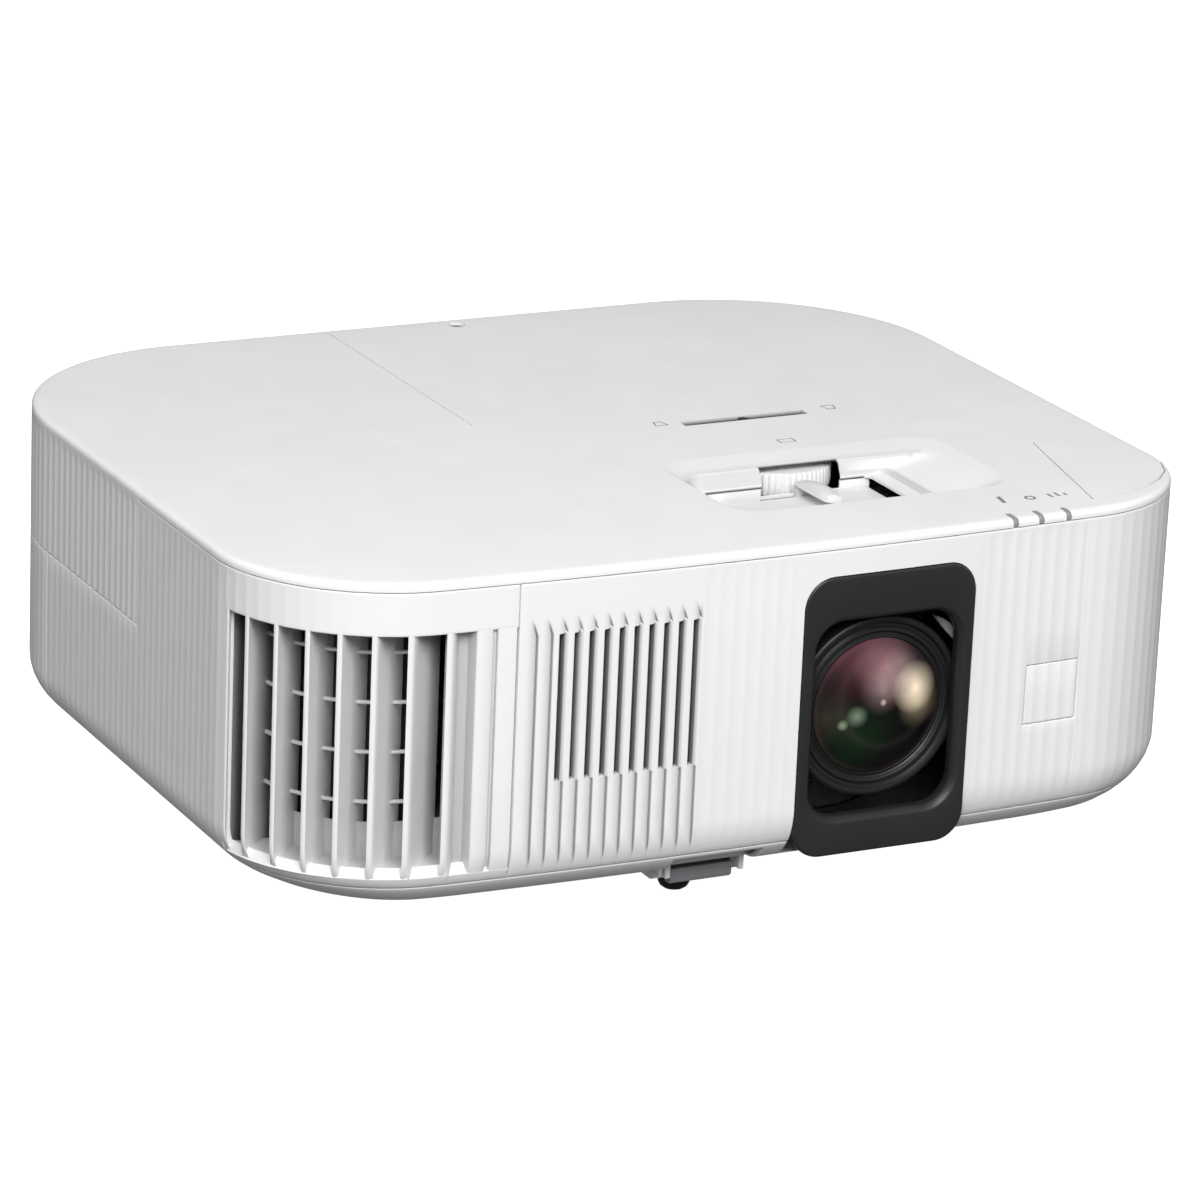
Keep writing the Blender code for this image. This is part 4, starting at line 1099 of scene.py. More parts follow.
def make_bezel():
    """The dark frame round the lens: a face with a chamfered opening and a skirt round its foot."""
    low_x, high_x, low_z, _ = BEZEL

    def grown(sides, grow, y):
        return upright(rounded_plan(sides[0] - grow, sides[1] + grow, sides[2] - grow, sides[3] + grow,
                                    BEZEL_R + grow, 10), y)

    def outer(grow, y):
        return grown(BEZEL, grow, y)

    def inner(grow, y):
        return grown(BEZEL_HOLE, grow, y)

    front = -HALF_D + 0.02
    rings = [outer(-0.6, -131.6), outer(0.0, -132.4), outer(0.0, front + 1.0), outer(-0.1, front + 0.55),
             outer(-0.35, front + 0.2), outer(-0.7, front + 0.05), outer(-1.1, front), inner(2.2, front),
             inner(1.7, front + 0.1), inner(1.2, front + 0.45), inner(0.35, front + 1.6), inner(0.05, front + 2.1),
             inner(0.0, front + 2.6), inner(0.0, -132.6), inner(0.5, -131.6)]
    draft = bmesh.new()
    add_loft(draft, rings + rings[:1], cap_start=False, cap_end=False)
    skirt = []
    for grow in (0.0, -1.8):
        pts = rounded_plan(low_x - grow, high_x + grow, low_z - grow, 60.0, BEZEL_R + grow, 10)
        row = [p for p in pts if p[1] <= 34.0]
        low_left = [p for p in row if p[0] < LENS_X]
        low_right = [p for p in row if p[0] >= LENS_X]
        skirt.append([(low_x - grow, 34.0)] + sorted(low_left, key=lambda p: -p[1])
                     + sorted(low_right, key=lambda p: p[1]) + [(high_x + grow, 34.0)])
    add_sheet(draft, [upright(row, y) for row, y in ((skirt[0], -132.8), (skirt[0], -126.4), (skirt[1], -126.4),
                                                     (skirt[1], -132.8))])
    piece(draft, "lens_bezel", CHARCOAL, replaces="lens_bezel", sharp=38.0, heal=True)

    draft = bmesh.new()
    window = rounded_plan(LENS_X - SHROUD_R, LENS_X + SHROUD_R, 18.0, 108.0, 33.0, 12)
    far = rounded_plan(-4.0, 86.0, 14.8, 116.0, 6.0, 12)
    back = -101.6
    add_loft(draft, [upright(far, back), upright(window, back), upright(window, back + 1.4)],
             cap_start=False, cap_end=False)
    piece(draft, "lens_shroud", MATT_BLACK, sharp=40.0)

    draft = bmesh.new()                            # a grey guide that shows past the barrel at the upper right
    rings = []
    for k in range(9):
        angle = math.radians(38.0 + 2.6 * k)
        wide = 2.6 * math.sin(PI * (k + 0.6) / 9.2)
        near, far = SHROUD_R - wide * 0.4, SHROUD_R + wide * 0.6
        rings.append([(LENS_X + r * math.sin(angle), y, LENS_Z + r * math.cos(angle))
                      for r, y in ((near, -129.4), (far, -130.2), (far, -127.0), (near, -127.0))])
    add_loft(draft, rings)
    for angle in (79.0, 108.0):
        a = math.radians(angle)
        x, z = LENS_X + 31.4 * math.sin(a), LENS_Z + 31.4 * math.cos(a)
        add_box(draft, (x - 0.5, -130.2, z - 1.8), (x + 0.5, -127.5, z + 1.8))
    piece(draft, "lens_guide", MID_GREY, "lens_unit", sharp=30.0)


# ---------------------------------------------------------------- lens

def make_lens():
    centre = (LENS_X, 0.0, LENS_Z)
    draft = bmesh.new()
    profile = [(30.2, -101.0), (30.2, -130.6), (30.0, -131.1), (29.5, -131.45), (28.8, -131.5), (28.1, -131.3),
               (27.8, -130.7), (27.4, -130.2), (26.5, -130.1), (26.2, -130.5), (25.9, -130.9), (25.2, -131.0),
               (24.8, -130.8), (24.5, -130.2), (24.1, -129.9), (23.6, -130.0), (23.3, -130.5), (22.9, -130.6),
               (22.6, -130.2), (22.6, -100.0)]
    add_turned(draft, centre, profile, sides=120)
    body = [(30.2, -110.0), (32.7, -110.0), (33.0, -109.7), (33.0, -101.3), (32.7, -101.0), (29.0, -101.0),
            (29.0, -62.3), (28.7, -62.0), (25.3, -62.0), (25.0, -61.7), (25.0, -50.8), (24.7, -50.5), (19.3, -50.5)]
    add_turned(draft, centre, body, sides=120)
    piece(draft, "lens_barrel", BLACK, "lens_unit", "lens_barrel", sharp=34.0, heal=True)

    draft = bmesh.new()
    rim, bulge, front = GLASS_R, 4.4, -130.6
    profile = [(0.0, front - bulge)]
    profile += [(rim * k / 16, front - bulge * (1 - (k / 16) ** 2)) for k in range(1, 17)]
    profile += [(rim, front + 2.8), (0.0, front + 3.0)]
    add_turned(draft, centre, profile, sides=96)
    piece(draft, "front_lens", GLASS, "lens_unit", "front_lens", sharp=50.0, heal=True)

    make_focus_ring(centre)
    make_zoom_ring(centre)

    draft = bmesh.new()
    add_box(draft, (13.1, -98.5, PLATE_Z[0]), (73.6, -63.2, PLATE_Z[1]), chamfer=1.0)
    add_box(draft, (26.0, -87.3, 92.0), (56.0, -85.7, 111.4))
    for low_x, high_x in ((13.1, 21.4), (60.6, 73.6)):
        add_box(draft, (low_x, -63.4, PLATE_Z[0]), (high_x, -60.5, PLATE_Z[1]))
    soften(piece(draft, "lens_top_cover", PALE_GREY, "lens_unit", "lens_top_cover"), 0.25)


def make_focus_ring(centre):
    draft = bmesh.new()
    sides = 144

    def ridge(step, k):
        return -0.5 if step % 3 == 0 and k in (2, 3) else 0.0

    profile = [(29.5, -99.0), (35.2, -99.0), (36.0, -98.2), (36.0, -88.8), (35.2, -88.0), (29.5, -88.0)]
    add_turned(draft, centre, profile, sides=sides, closed=True, wobble=ridge)
    rings = []
    for step in range(49):
        angle = math.radians(-24.0 + step)
        outer = 50.0 if step % 3 else 49.3
        corners = ((34.0, -98.5), (outer - 0.7, -98.5), (outer, -97.8), (outer, -89.2), (outer - 0.7, -88.5),
                   (34.0, -88.5))
        rings.append([(LENS_X + r * math.sin(angle), y, LENS_Z + r * math.cos(angle)) for r, y in corners])
    add_loft(draft, rings)
    piece(draft, "focus_ring", PALE_GREY, "focus_control", "focus_ring", sharp=30.0)


def make_zoom_ring(centre):
    draft = bmesh.new()
    profile = [(29.5, -85.0), (34.4, -85.0), (35.0, -84.4), (35.0, -61.1), (34.4, -60.5), (29.5, -60.5)]
    add_turned(draft, centre, profile, sides=96, closed=True)

    def at(radius, degrees, y):
        angle = math.radians(degrees)
        return (LENS_X + radius * math.sin(angle), y, LENS_Z + radius * math.cos(angle))

    neck = ((33.0, -62.8), (54.0, -62.8), (54.0, -60.9), (33.0, -60.9))
    add_loft(draft, [[at(r, 9.0 + d, y) for r, y in neck] for d in (-3.2, 3.2)])
    # The lever's head: a wedge with a sloping thumb face, narrowing to the front
    sections = ((-83.0, 53.0, 53.9, 2.6), (-81.4, 52.9, 55.2, 3.4), (-76.0, 52.9, 55.9, 3.9),
                (-70.0, 52.9, 55.9, 4.2), (-64.0, 52.9, 55.1, 4.2), (-60.8, 53.0, 53.9, 4.0))
    rings = []
    for y, inner, outer, half in sections:
        rings.append([at(inner, 9.0 - half, y), at(outer - 0.5, 9.0 - half * 0.9, y), at(outer, 9.0 - half * 0.35, y),
                      at(outer, 9.0 + half * 0.35, y), at(outer - 0.5, 9.0 + half * 0.9, y),
                      at(inner, 9.0 + half, y)])
    add_loft(draft, rings)
    piece(draft, "zoom_ring", PALE_GREY, "zoom_control", "zoom_ring", sharp=26.0, heal=True)


# ---------------------------------------------------------------- controls on the top

def make_dial():
    draft = bmesh.new()
    sides = 240

    def knurl(step, k):
        return -0.45 if step % 4 in (0, 1) and 2 <= k <= 5 else 0.0

    profile = [(0.0, 110.4), (19.2, 110.4), (19.8, 110.9), (20.0, 112.5), (20.0, 117.4), (19.8, 117.8), (19.2, 118.1),
               (17.8, 118.3), (0.0, 118.3)]
    add_turned(draft, (DIAL_X, DIAL_Y, 0.0), profile, axis="Z", sides=sides, wobble=knurl)
    piece(draft, "lens_shift_dial", PALE_GREY, "shift_control", "lens_shift_dial", sharp=30.0,
          heal=True)


def make_slider():
    low_x, high_x, low_y, high_y = SLIDER_SLOT
    x = (low_x + high_x) / 2
    draft = bmesh.new()
    add_box(draft, (x - 28, low_y - 4, 116.4), (x + 28, high_y + 4, 118.3), chamfer=0.8)
    for k in range(-9, 10):
        if abs(k) > 2:
            add_box(draft, (x + k * 2.6 - 0.3, low_y + 0.8, 118.2), (x + k * 2.6 + 0.3, high_y - 0.8, 118.55))
    rings = []
    for z, half, grow in ((118.0, 4.6, 0.0), (120.4, 4.5, 0.0), (121.2, 4.1, -0.2), (121.6, 3.4, -0.5)):
        rings.append([(x - half, low_y + 0.5 - grow, z), (x + half, low_y + 0.5 - grow, z),
                      (x + half * 0.24, high_y - 0.45 + grow, z), (x - half * 0.24, high_y - 0.45 + grow, z)])
    add_loft(draft, rings)
    piece(draft, "keystone_slider", BLACK, "keystone_control", "keystone_slider", sharp=30.0)


def on_top(points, lift):
    return [(x, y, crown(x, y) + lift) for x, y in points]


def flat_mark(draft, points):
    """A printed mark: a thin tablet on the top's surface."""
    add_loft(draft, [on_top(points, -0.01), on_top(points, 0.05)])


def outline_mark(draft, points, width=0.6):
    """A printed line round a closed chain of points."""
    count = len(points)
    middle = Vector((sum(p[0] for p in points) / count, sum(p[1] for p in points) / count))
    inner = []
    for x, y in points:
        v = Vector((x, y)) - middle
        inner.append(tuple(middle + v * max(0.0, 1 - width / max(v.length, 1e-6))))
    add_loft(draft, [on_top(points, -0.02), on_top(points, 0.05), on_top(inner, 0.05), on_top(inner, -0.02)],
             cap_start=False, cap_end=False)


def ring_points(x, y, radius, count=16):
    return [(x + radius * math.cos(2 * PI * k / count), y + radius * math.sin(2 * PI * k / count))
            for k in range(count)]


def make_marks():
    """Plain printed symbols: wide and narrow pictures by the slider, the lights' names, and the dial's mark."""
    draft = bmesh.new()
    outline_mark(draft, [(22.6, -6.2), (27.6, -6.2), (26.6, -1.9), (23.6, -1.9)])
    outline_mark(draft, [(86.6, -2.2), (91.6, -2.2), (90.6, -6.8), (87.6, -6.8)])
    outline_mark(draft, [(53.6, -36.6), (59.6, -36.6), (59.6, -33.0), (53.6, -33.0)])
    flat_mark(draft, [(90.3, -119.2), (91.7, -119.2), (92.8, -112.8), (91.4, -112.8)])
    outline_mark(draft, ring_points(101.6, -117.1, 2.0), 0.9)
    for x, low_y, high_y in ((108.6, -119.0, -115.2), (111.4, -118.6, -114.8), (114.2, -118.2, -116.0)):
        flat_mark(draft, rect(x, x + 0.9, low_y, high_y))
    piece(draft, "top_marks", MARK_GREY, smooth=False)


def make_lights():
    for name, x in zip(("power_light", "lamp_light", "heat_light"), LIGHT_X):
        front = -HALF_D + bow(x)
        draft = bmesh.new()
        rings = []
        for y, high in ((front + 0.03, 120.5), (front + 0.25, 121.02), (front + 0.6, 121.47), (front + 1.1, 121.75),
                        (front + 1.8, 121.89), (-129.8, 122.0)):
            rings.append([(x - 0.85, y, SEAM_Z + GAP), (x + 0.85, y, SEAM_Z + GAP), (x + 0.85, y, high - 0.15),
                          (x + 0.65, y, high), (x - 0.65, y, high), (x - 0.85, y, high - 0.15)])
        add_loft(draft, rings)
        piece(draft, name, STRIP_GREY, replaces=name, sharp=30.0)


def cross_screw(draft, centre, radius, depth):
    """A domed screw head with a cross cut in it, facing up."""
    profile = [(0.0, depth * 0.2), (radius * 0.28, depth * 0.2), (radius * 0.3, depth * 0.95), (radius * 0.6, depth),
               (radius * 0.92, depth * 0.8), (radius, depth * 0.5), (radius, -depth)]

    def star(step, k):
        return radius * 0.22 if k in (1, 2) and step % 8 < 2 else 0.0

    add_turned(draft, centre, profile, axis="Z", sides=32, wobble=star)


def make_screws():
    x, y, _ = TOP_SCREW
    draft = bmesh.new()
    cross_screw(draft, (x, y, 120.3), 2.9, 0.9)
    piece(draft, "top_screw", MID_GREY, heal=True)
    draft = bmesh.new()
    for profile in ([(0.0, 1.6), (3.4, 1.6), (3.9, 1.2), (3.9, 0.75), (3.6, 0.45), (2.2, 0.4)],
                    [(2.2, 0.4), (2.0, 1.0), (0.0, 1.0)]):
        add_turned(draft, (-HALF_W, 62.0, 85.5), profile, axis="X", sides=40)
    piece(draft, "lamp_cover_screw", STEEL, "lamp_lid", "lamp_cover_screw", heal=True)


# ---------------------------------------------------------------- rear and right-hand side

REAR_PORTS = {"hdmi_port_1": (60.0, 77.0, 33.0, 41.0), "hdmi_port_2": (36.0, 53.0, 33.0, 41.0),
              "usb_port": (14.0, 29.0, 33.0, 42.0)}
BUTTONS = {"power_button": (74.0, 97.0, 5.0, 5.0), "source_button": (60.0, 97.0, 4.0, 4.0),
           "menu_button": (4.0, 104.0, 4.5, 3.0), "escape_button": (4.0, 90.0, 4.5, 3.0),
           "enter_button": (32.0, 97.0, 4.2, 4.2), "up_button": (32.0, 105.6, 4.2, 3.2),
           "down_button": (32.0, 88.4, 4.2, 3.2), "left_button": (42.6, 97.0, 5.0, 3.4),
           "right_button": (21.4, 97.0, 5.0, 3.4)}


def stand_up(draft, flat, axes):
    """Move a draft that was made lying down into another; axes says which of its axes become X, Y and Z."""
    flat.transform(Matrix([[1.0 if k == axis else 0.0 for k in range(4)] for axis in (*axes, 3)]))
    mesh = bpy.data.meshes.new("flat")
    flat.to_mesh(mesh)
    flat.free()
    draft.from_mesh(mesh)
    bpy.data.meshes.remove(mesh)


def add_cut_plate(draft, outline, holes, height, drop):
    """A level plate inside its outline, with holes."""
    add_plate(draft, [outline] + holes,
              lambda x, y: inside_loop(x, y, outline) and not any(inside_loop(x, y, hole) for hole in holes),
              lambda x, y: height, drop=drop)


def add_panel(draft, low_x, high_x, low_z, high_z, back_y, front_y, holes):
    """An upright plate facing +Y with holes; holes and outline are (x, z) loops."""
    flat = bmesh.new()
    add_cut_plate(flat, rounded_plan(low_x, high_x, low_z, high_z, 1.2, 3), holes, back_y, back_y - front_y)
    stand_up(draft, flat, (0, 2, 1))


def make_rear():
    back = HALF_D
    draft = bmesh.new()
    holes = [rect(lx - GAP, hx + GAP, lz - GAP, hz + GAP) for lx, hx, lz, hz in REAR_PORTS.values()]
    holes.append(ring_points(80.0, 58.0, 4.5, 24))
    add_panel(draft, -20 + GAP, 92 - GAP, 26 + GAP, 74 - GAP, back - 3.6, back - 6.0, holes)
    for x in (-8.0, 0.0, 8.0):
        bar = rounded_plan(x - 2.2, x + 2.2, 52.0, 66.0, 1.6, 3)
        add_loft(draft, [upright(bar, back - 3.7), upright(bar, back - 3.35)])
    line = rounded_plan(20, 68, 48.0, 48.6, 0.25, 2)
    add_loft(draft, [upright(line, back - 3.7), upright(line, back - 3.4)])
    piece(draft, "terminal_panel", CHARCOAL, replaces="terminal_panel", heal=True)

    for name, (lx, hx, lz, hz) in REAR_PORTS.items():
        draft = bmesh.new()
        usb = name.startswith("usb")

        def shape(grow, y):
            if usb:
                return upright(rounded_plan(lx + grow, hx - grow, lz + grow, hz - grow, 0.8, 2), y)
            cut = 2.2 + grow * 0.4
            return [(lx + grow, y, hz - grow), (lx + grow, y, lz + cut), (lx + cut, y, lz + grow),
                    (hx - cut, y, lz + grow), (hx - grow, y, lz + cut), (hx - grow, y, hz - grow)]

        add_loft(draft, [shape(0.0, back - 20), shape(0.0, back - 3.15), shape(0.12, back - 3.0),
                         shape(0.75, back - 3.0), shape(0.9, back - 3.2), shape(0.9, back - 16)])
        tongue_z = (lz + hz) / 2 + (0.8 if usb else 0.0)
        thick = 1.0 if usb else 0.55
        add_box(draft, (lx + 3.2, back - 16, tongue_z - thick), (hx - 3.2, back - 4.6, tongue_z + thick), index=1)
        pads = 4 if usb else 9
        for k in range(pads):
            x = lx + 3.9 + (hx - lx - 7.8) * k / (pads - 1)
            add_box(draft, (x - 0.3, back - 11.0, tongue_z - thick - 0.06), (x + 0.3, back - 5.0, tongue_z - thick),
                    index=2)
        piece(draft, name, [STEEL, BLACK, GOLD], replaces=name, heal=True)

    draft = bmesh.new()
    profile = [(0.0, back - 17.5), (1.8, back - 17.5), (1.8, back - 3.4), (2.1, back - 3.0), (3.3, back - 3.0),
               (3.6, back - 3.3), (4.2, back - 3.5), (4.2, back - 19.0), (0.0, back - 19.0)]
    add_turned(draft, (80.0, 0.0, 58.0), profile, sides=40)
    piece(draft, "audio_jack", BLACK, replaces="audio_jack", heal=True)

    draft = bmesh.new()
    outer = rounded_plan(-75 + GAP, -47 - GAP, 28 + GAP, 50 - GAP, 1.5, 4)
    cut = 4.0
    mouth = [(-73, 30.5), (-49, 30.5), (-49, 47.5 - cut), (-49 - cut, 47.5), (-73 + cut, 47.5), (-73, 47.5 - cut)]
    plate = bmesh.new()
    add_cut_plate(plate, outer, [mouth], back - 2.2, 16.0)
    add_cut_plate(plate, mouth, [], back - 18.0, 0.0)
    stand_up(draft, plate, (0, 2, 1))
    for offset in (-5.5, 5.5):
        x = -61.0 + offset
        add_loft(draft, [[(x + sx * 1.0 * t, y, 40.0 + sz * 2.2 * t) for sx, sz in ((-1, -1), (1, -1), (1, 1), (-1, 1))]
                         for y, t in ((back - 18.5, 1.0), (back - 7.0, 1.0), (back - 6.0, 0.55))], index=1)
    piece(draft, "power_inlet", [BLACK, STEEL], replaces="power_inlet", heal=True)

    draft = bmesh.new()
    holes = [rounded_plan(x - w - GAP, x + w + GAP, z - h - GAP, z + h + GAP, min(w, h) * 0.45, 4)
             for x, z, w, h in BUTTONS.values()]
    add_panel(draft, -14 + GAP, 86 - GAP, 82 + GAP, 112 - GAP, back - 3.0, back - 6.0, holes)
    piece(draft, "control_panel", LIGHT_GREY, replaces="control_panel", heal=True)
    for name, (x, z, w, h) in BUTTONS.items():
        draft = bmesh.new()
        rings = []
        for y, t in ((back - 6.8, 0.0), (back - 2.5, 0.0), (back - 2.0, 0.35), (back - 1.85, 0.9)):
            radius = max(0.3, min(w, h) * 0.45 - t * 0.5)
            rings.append(upright(rounded_plan(x - w + t, x + w - t, z - h + t, z + h - t, radius, 4), y))
        add_loft(draft, rings)
        add_symbol(draft, name, x, z, back - 1.86)
        piece(draft, name, [WHITE, MARK_GREY], name + "_body", name, heal=True)


def add_symbol(draft, name, x, z, y):
    """A raised, plain symbol on a button: a bar and ring, an arrow, lines or a dot."""
    def slab(points):
        add_loft(draft, [upright(points, y), upright(points, y + 0.07)], index=1)

    def bar(low_x, high_x, low_z, high_z):
        slab([(x + p, z + q) for p, q in rect(low_x, high_x, low_z, high_z)])

    kind = name.split("_")[0]
    if kind == "power":
        for k in range(14):
            a, b = 2 * PI * (k + 2) / 18, 2 * PI * (k + 3) / 18
            slab([(x + r * math.sin(t), z + r * math.cos(t)) for r, t in
                  ((2.4, a), (2.4, b), (1.9, b), (1.9, a))])
        bar(-0.25, 0.25, 0.6, 2.6)
    elif kind in ("up", "down", "left", "right"):
        turn = {"up": 0, "left": -1, "down": 2, "right": -3}[kind] * PI / 2
        points = [(0.0, 1.3), (-1.4, -0.9), (1.4, -0.9)]
        slab([(x + p * math.cos(turn) - q * math.sin(turn), z + p * math.sin(turn) + q * math.cos(turn))
              for p, q in points])
    elif kind == "enter":
        slab(ring_points(x, z, 1.1, 14))
    elif kind == "source":
        bar(-1.8, 1.8, -0.25, 0.25)
        slab([(x - 1.8, z - 0.9), (x - 0.7, z), (x - 1.8, z + 0.9)])
    else:
        for row in (-0.9, 0.0, 0.9) if kind == "menu" else (-0.5, 0.5):
            bar(-1.7, 1.7, row - 0.2, row + 0.2)


def make_filter():
    side = HALF_W
    draft = bmesh.new()
    outline = rounded_plan(-44 + GAP, 44 - GAP, 32 + GAP, 102 - GAP, 2.0, 4)
    slots = [rounded_plan(-38, 38, 39.0 + 6.4 * row, 42.0 + 6.4 * row, 1.4, 4) for row in range(9)]
    slots.append(rounded_plan(-7, 7, 96.6, 99.4, 1.3, 4))
    flat = bmesh.new()
    add_cut_plate(flat, outline, slots, side - 0.1, 2.3)
    add_cut_plate(flat, slots[-1], [], side - 1.6, 0.0)
    stand_up(draft, flat, (2, 0, 1))
    soften(piece(draft, "filter_cover", WHITE, "filter_door", "filter_cover", heal=True), 0.25)

    draft = bmesh.new()
    steps = 92                                     # two to a fold
    zig = [(side - (6.2 if k % 2 else 9.6), -41.0 + 82.0 * k / steps) for k in range(steps + 1)]
    add_sheet(draft, [[(x, y, z) for x, y in zig] for z in (34.0, 100.0)])
    outer, inner = rounded_plan(-46, 46, 30, 104, 2.0, 3), rounded_plan(-41, 41, 34, 100, 1.0, 3)
    rim = ((outer, side - 12), (outer, side - 5), (inner, side - 5), (inner, side - 12), (outer, side - 12))
    add_loft(draft, [[(x, y, z) for y, z in loop] for loop, x in rim], cap_start=False, cap_end=False)
    piece(draft, "air_filter", FOAM, replaces="air_filter", heal=True)


# ---------------------------------------------------------------- feet

def make_feet():
    x, y = FOOT_X, FOOT_Y
    draft = bmesh.new()
    low, high = (x - 13.7, y - 9.7), (x + 17.7, y + 9.7)
    wall = 1.9
    for x0, y0, x1, y1 in ((low[0], low[1], low[0] + wall, high[1]), (high[0] - wall, low[1], high[0], high[1]),
                           (low[0], high[1] - wall, high[0], high[1])):
        add_box(draft, (x0, y0, 8.0), (x1, y1, 30.0))
    for low_x, high_x, base_z in ((low[0], low[0] + 1.6, 11.0), (low[0] + 2.6, low[0] + 4.6, 9.6),
                                  (high[0] - 2.4, high[0] - 0.6, 9.4)):
        add_box(draft, (low_x, y - 15.0, base_z), (high_x, low[1] + 0.3, 22.0))
    add_box(draft, (low[0], y - 12.6, 9.2), (low[0] + 4.6, low[1] + 0.3, 12.4))
    add_box(draft, (low[0], low[1] + 0.2, 13.4), (high[0], high[1], 15.2))
    profile = [(6.6, 8.4), (9.0, 8.4), (9.4, 8.9), (9.4, 30.0), (6.6, 30.0)]
    add_turned(draft, (x, y, 0.0), profile, axis="Z", sides=40, closed=True)
    soften(piece(draft, "foot_bracket", WHITE, replaces="foot_bracket"), 0.35)

    draft = bmesh.new()
    thread = [(6.2 - (0.45 if k % 2 else 0.0), 5.0 + 60.0 * k / 48) for k in range(49)]
    add_turned(draft, (x, y, 0.0), [(0.0, 5.0)] + thread + [(0.0, 65.0)], axis="Z", sides=32)
    piece(draft, "front_foot", PALE_GREY, "front_leg", "front_foot", heal=True)
    draft = bmesh.new()
    tip = [(0.0, 0.0), (1.8, 0.0), (3.4, 0.4), (4.5, 1.2), (5.1, 2.3), (5.3, 3.4), (5.2, 4.3), (4.8, 4.8), (0.0, 4.8)]
    add_turned(draft, (x, y, 0.0), tip, axis="Z", sides=48)
    piece(draft, "front_foot_tip", RUBBER, "front_leg", "front_foot_tip", heal=True)

    draft = bmesh.new()
    low, high = (x - 8.6, y - 13.6), (x + 14.2, y - 9.9)

    def slab(levels, index):
        rings = []
        for z, near, far in levels:
            rings.append([(low[0] + 0.4, low[1] + near, z), (low[0] + 1.2, low[1] + near, z),
                          (high[0] - 1.2, low[1] + near, z), (high[0] - 0.4, low[1] + near + 0.5, z),
                          (high[0], high[1] - far, z), (low[0], high[1] - far, z)])
        add_loft(draft, rings, index=index)

    # The lever's upper part, under the case's overhang, is painted charcoal as shade
    slab(((6.9, 0.9, 0.3), (7.5, 0.25, 0.0), (9.2, 0.0, 0.0), (11.0, 0.1, 0.0), (11.9, 0.6, 0.0)), 0)
    slab(((11.7, 1.3, 0.0), (15.2, 1.7, 0.0), (16.6, 2.2, 0.0)), 1)
    for k in range(3):
        add_box(draft, (low[0] + 2.2, low[1] - 0.05, 8.3 + k * 1.1), (high[0] - 2.2, low[1] + 1.4, 8.7 + k * 1.1))
    lever = piece(draft, "foot_lever", [LEVER_GREY, CHARCOAL], "foot_release", "foot_lever")
    soften(lever, 0.2)

    for side_name, fx in (("left", -118.0), ("right", 118.0)):
        draft = bmesh.new()
        pad = [(0.0, 0.0), (7.2, 0.0), (8.6, 0.3), (9.3, 1.1), (9.5, 2.0), (9.5, 5.2), (9.2, 5.8), (8.6, 6.0),
               (4.1, 6.0)]
        add_turned(draft, (fx, 92.0, 0.0), pad, axis="Z", sides=64,
                   wobble=lambda step, k: -0.35 if step % 4 == 0 and k in (4, 5) else 0.0)
        thread = [(4.1 - (0.35 if k % 2 else 0.0), 6.0 + 21.4 * k / 22) for k in range(23)]
        add_turned(draft, (fx, 92.0, 0.0), thread + [(0.0, 27.5)], axis="Z", sides=32, index=1)
        piece(draft, "rear_foot_" + side_name, [RUBBER, STEEL], "rear_leg_" + side_name,
              "rear_foot_" + side_name, heal=True)


# ---------------------------------------------------------------- nodes that stay as they are

INNER_LOOKS = ((INNER_GLASS, ("rear_lens", "colour_prism", "lamp")), (ALUMINIUM, ("lens_carriage", "shift_guide")),
               (STEEL, ("lens_shift_screw",)), (MID_GREY, ("light_engine",)), (BOARD, ("main_board", "power_supply")),
               (BLACK, ("lcd_panels", "lamp_housing", "exhaust_fan_frame", "exhaust_fan_rotor", "intake_fan_frame",
                        "intake_fan_rotor", "speaker")))


def dress_inner():
    for mat, names in INNER_LOOKS:
        for name in names:
            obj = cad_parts[name]
            obj.data.materials.clear()
            obj.data.materials.append(mat)


# ---------------------------------------------------------------- studio

def studio_floor():
    mat = bpy.data.materials.new("studio_floor")
    mat.use_nodes = True
    tree = mat.node_tree
    shader = tree.nodes["Principled BSDF"]
    shader.inputs["Roughness"].default_value = 0.9
    shader.inputs["Specular IOR Level"].default_value = 0.1
    where = tree.nodes.new("ShaderNodeTexCoord").outputs["Object"]
    noise = node(tree, "ShaderNodeTexNoise", Scale=3.0, Detail=4.0)
    tree.links.new(where, noise.inputs["Vector"])
    tree.links.new(ramp(tree, noise.outputs["Fac"], ((0.3, (0.93, 0.93, 0.93)), (0.7, (0.95, 0.95, 0.95)))),
                   shader.inputs["Base Color"])
    shader.inputs["Emission Color"].default_value = (1, 1, 1, 1)
    shader.inputs["Emission Strength"].default_value = 0.93
    draft = bmesh.new()
    bmesh.ops.create_grid(draft, x_segments=2, y_segments=2, size=9.0)
    mesh = bpy.data.meshes.new("studio_floor")
    draft.to_mesh(mesh)
    draft.free()
    mesh.materials.append(mat)
    floor = bpy.data.objects.new("studio_floor", mesh)
    floor.location = (0, 0, -0.0002)
    floor.visible_diffuse = False
    floor.visible_glossy = False
    bpy.context.scene.collection.objects.link(floor)


SKY_LOW, SKY_HIGH = 0.15, 0.37
FRONT_POWER, FILL_POWER = 41.0, 2.4


def area_light(name, place, target, size, power):
    data = bpy.data.lights.new(name, "AREA")
    data.shape = "RECTANGLE"
    data.size, data.size_y = size
    data.energy = power
    lamp = bpy.data.objects.new(name, data)
    lamp.location = place
    lamp.visible_camera = False
    lamp.rotation_euler = (Vector(target) - Vector(place)).to_track_quat("-Z", "Y").to_euler()
    bpy.context.scene.collection.objects.link(lamp)


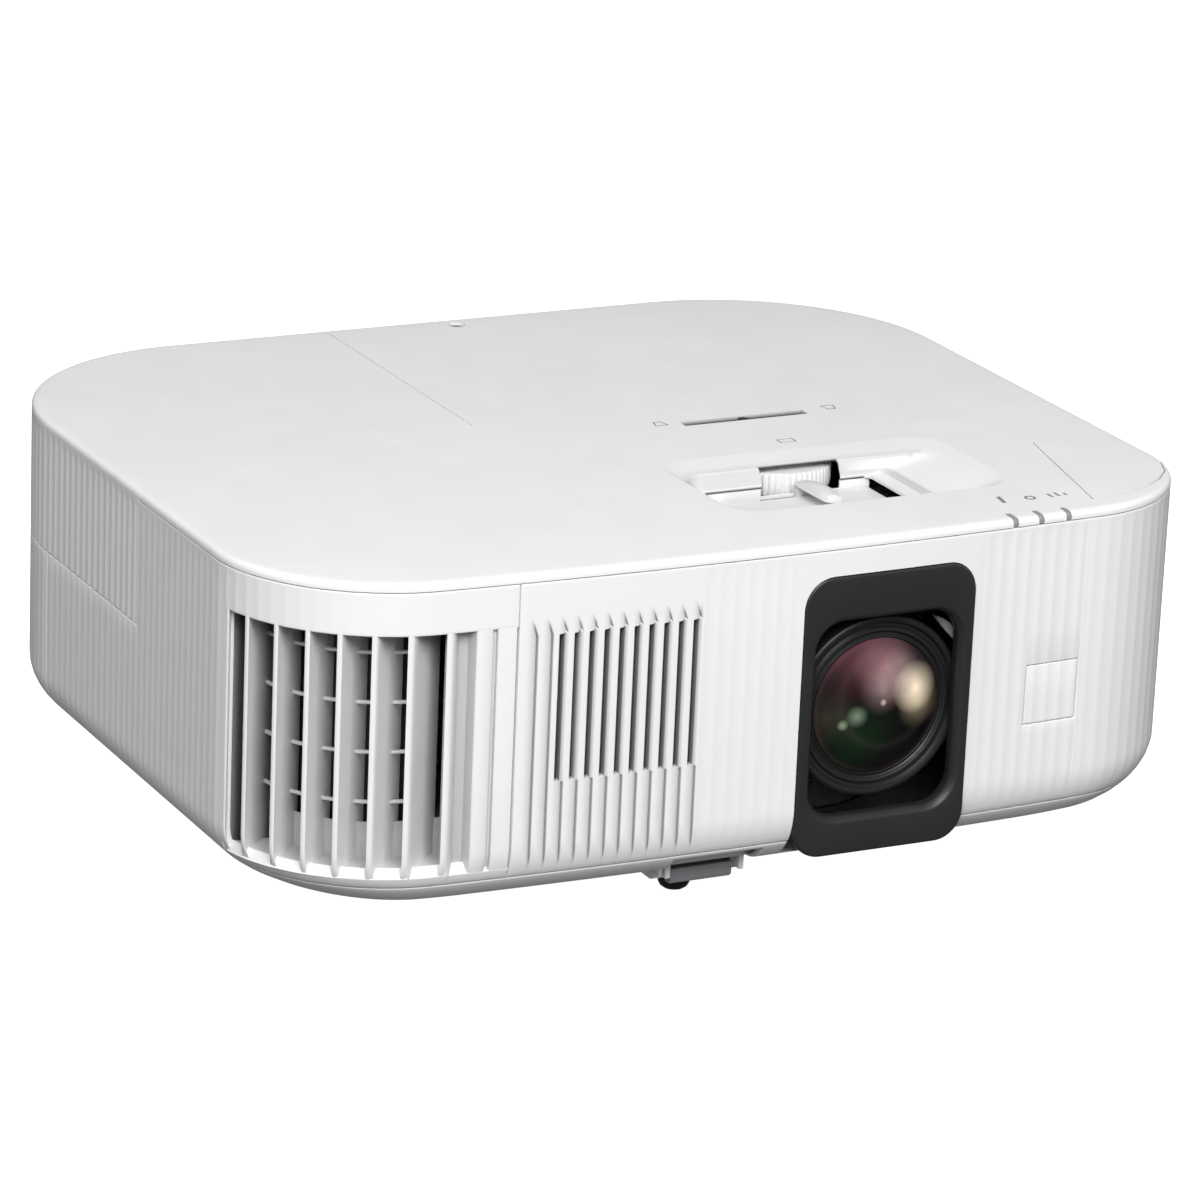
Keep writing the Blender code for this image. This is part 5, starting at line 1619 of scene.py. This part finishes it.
def make_studio():
    studio_floor()
    world = bpy.data.worlds.new("studio_world")
    world.use_nodes = True
    tree = world.node_tree
    background = tree.nodes["Background"]
    where = tree.nodes.new("ShaderNodeTexCoord").outputs["Generated"]
    apart = tree.nodes.new("ShaderNodeSeparateXYZ")
    tree.links.new(where, apart.inputs[0])
    height = spread(tree, apart.outputs["Z"], 0.0, 1.0, -0.6, 0.8)
    tree.links.new(ramp(tree, height, ((0.0, (SKY_LOW,) * 3), (1.0, (SKY_HIGH,) * 3))), background.inputs["Color"])
    background.inputs["Strength"].default_value = 1.0
    bpy.context.scene.world = world
    area_light("front_softbox", (-0.50, -1.40, 1.27), (0.0, -0.02, 0.07), (1.3, 0.9), FRONT_POWER)
    area_light("left_fill", (-2.5, 0.4, 0.7), (0.0, 0.0, 0.06), (1.6, 1.2), FILL_POWER)
    scene = bpy.context.scene
    scene.view_settings.view_transform = "Standard"
    scene.view_settings.look = "None"


CAMERA_AZIMUTH, CAMERA_ELEVATION, CAMERA_ROLL = -26.9965, 18.2224, 2.4343
CAMERA_AIM = Vector((0.0, 0.0, 60.0))
CAMERA_OFFSET = (1867.54, 6.99, 1.65)       # back, right and up from the aim
CAMERA_LENS = 167.26


def make_camera():
    az, el, roll = map(math.radians, (CAMERA_AZIMUTH, CAMERA_ELEVATION, CAMERA_ROLL))
    back = Vector((math.sin(az) * math.cos(el), -math.cos(az) * math.cos(el), math.sin(el)))
    level = Vector((math.cos(az), math.sin(az), 0.0))
    rise = back.cross(level)
    right = math.cos(roll) * level + math.sin(roll) * rise
    up = -math.sin(roll) * level + math.cos(roll) * rise
    away, aside, above = CAMERA_OFFSET
    place = (CAMERA_AIM + back * away + right * aside + up * above) * MM
    data = bpy.data.cameras.new("camera")
    data.lens = CAMERA_LENS
    data.sensor_width = 36.0
    data.clip_start, data.clip_end = 0.05, 50.0
    camera = bpy.data.objects.new("camera", data)
    turn = Matrix((right, up, back)).transposed().to_4x4()
    camera.matrix_world = Matrix.Translation(place) @ turn
    bpy.context.scene.collection.objects.link(camera)
    bpy.context.scene.camera = camera


make_camera()
make_studio()
make_top()
make_walls()
make_grille()
make_bezel()
make_lens()
make_dial()
make_slider()
make_marks()
make_lights()
make_screws()
make_rear()
make_filter()
make_feet()
dress_inner()
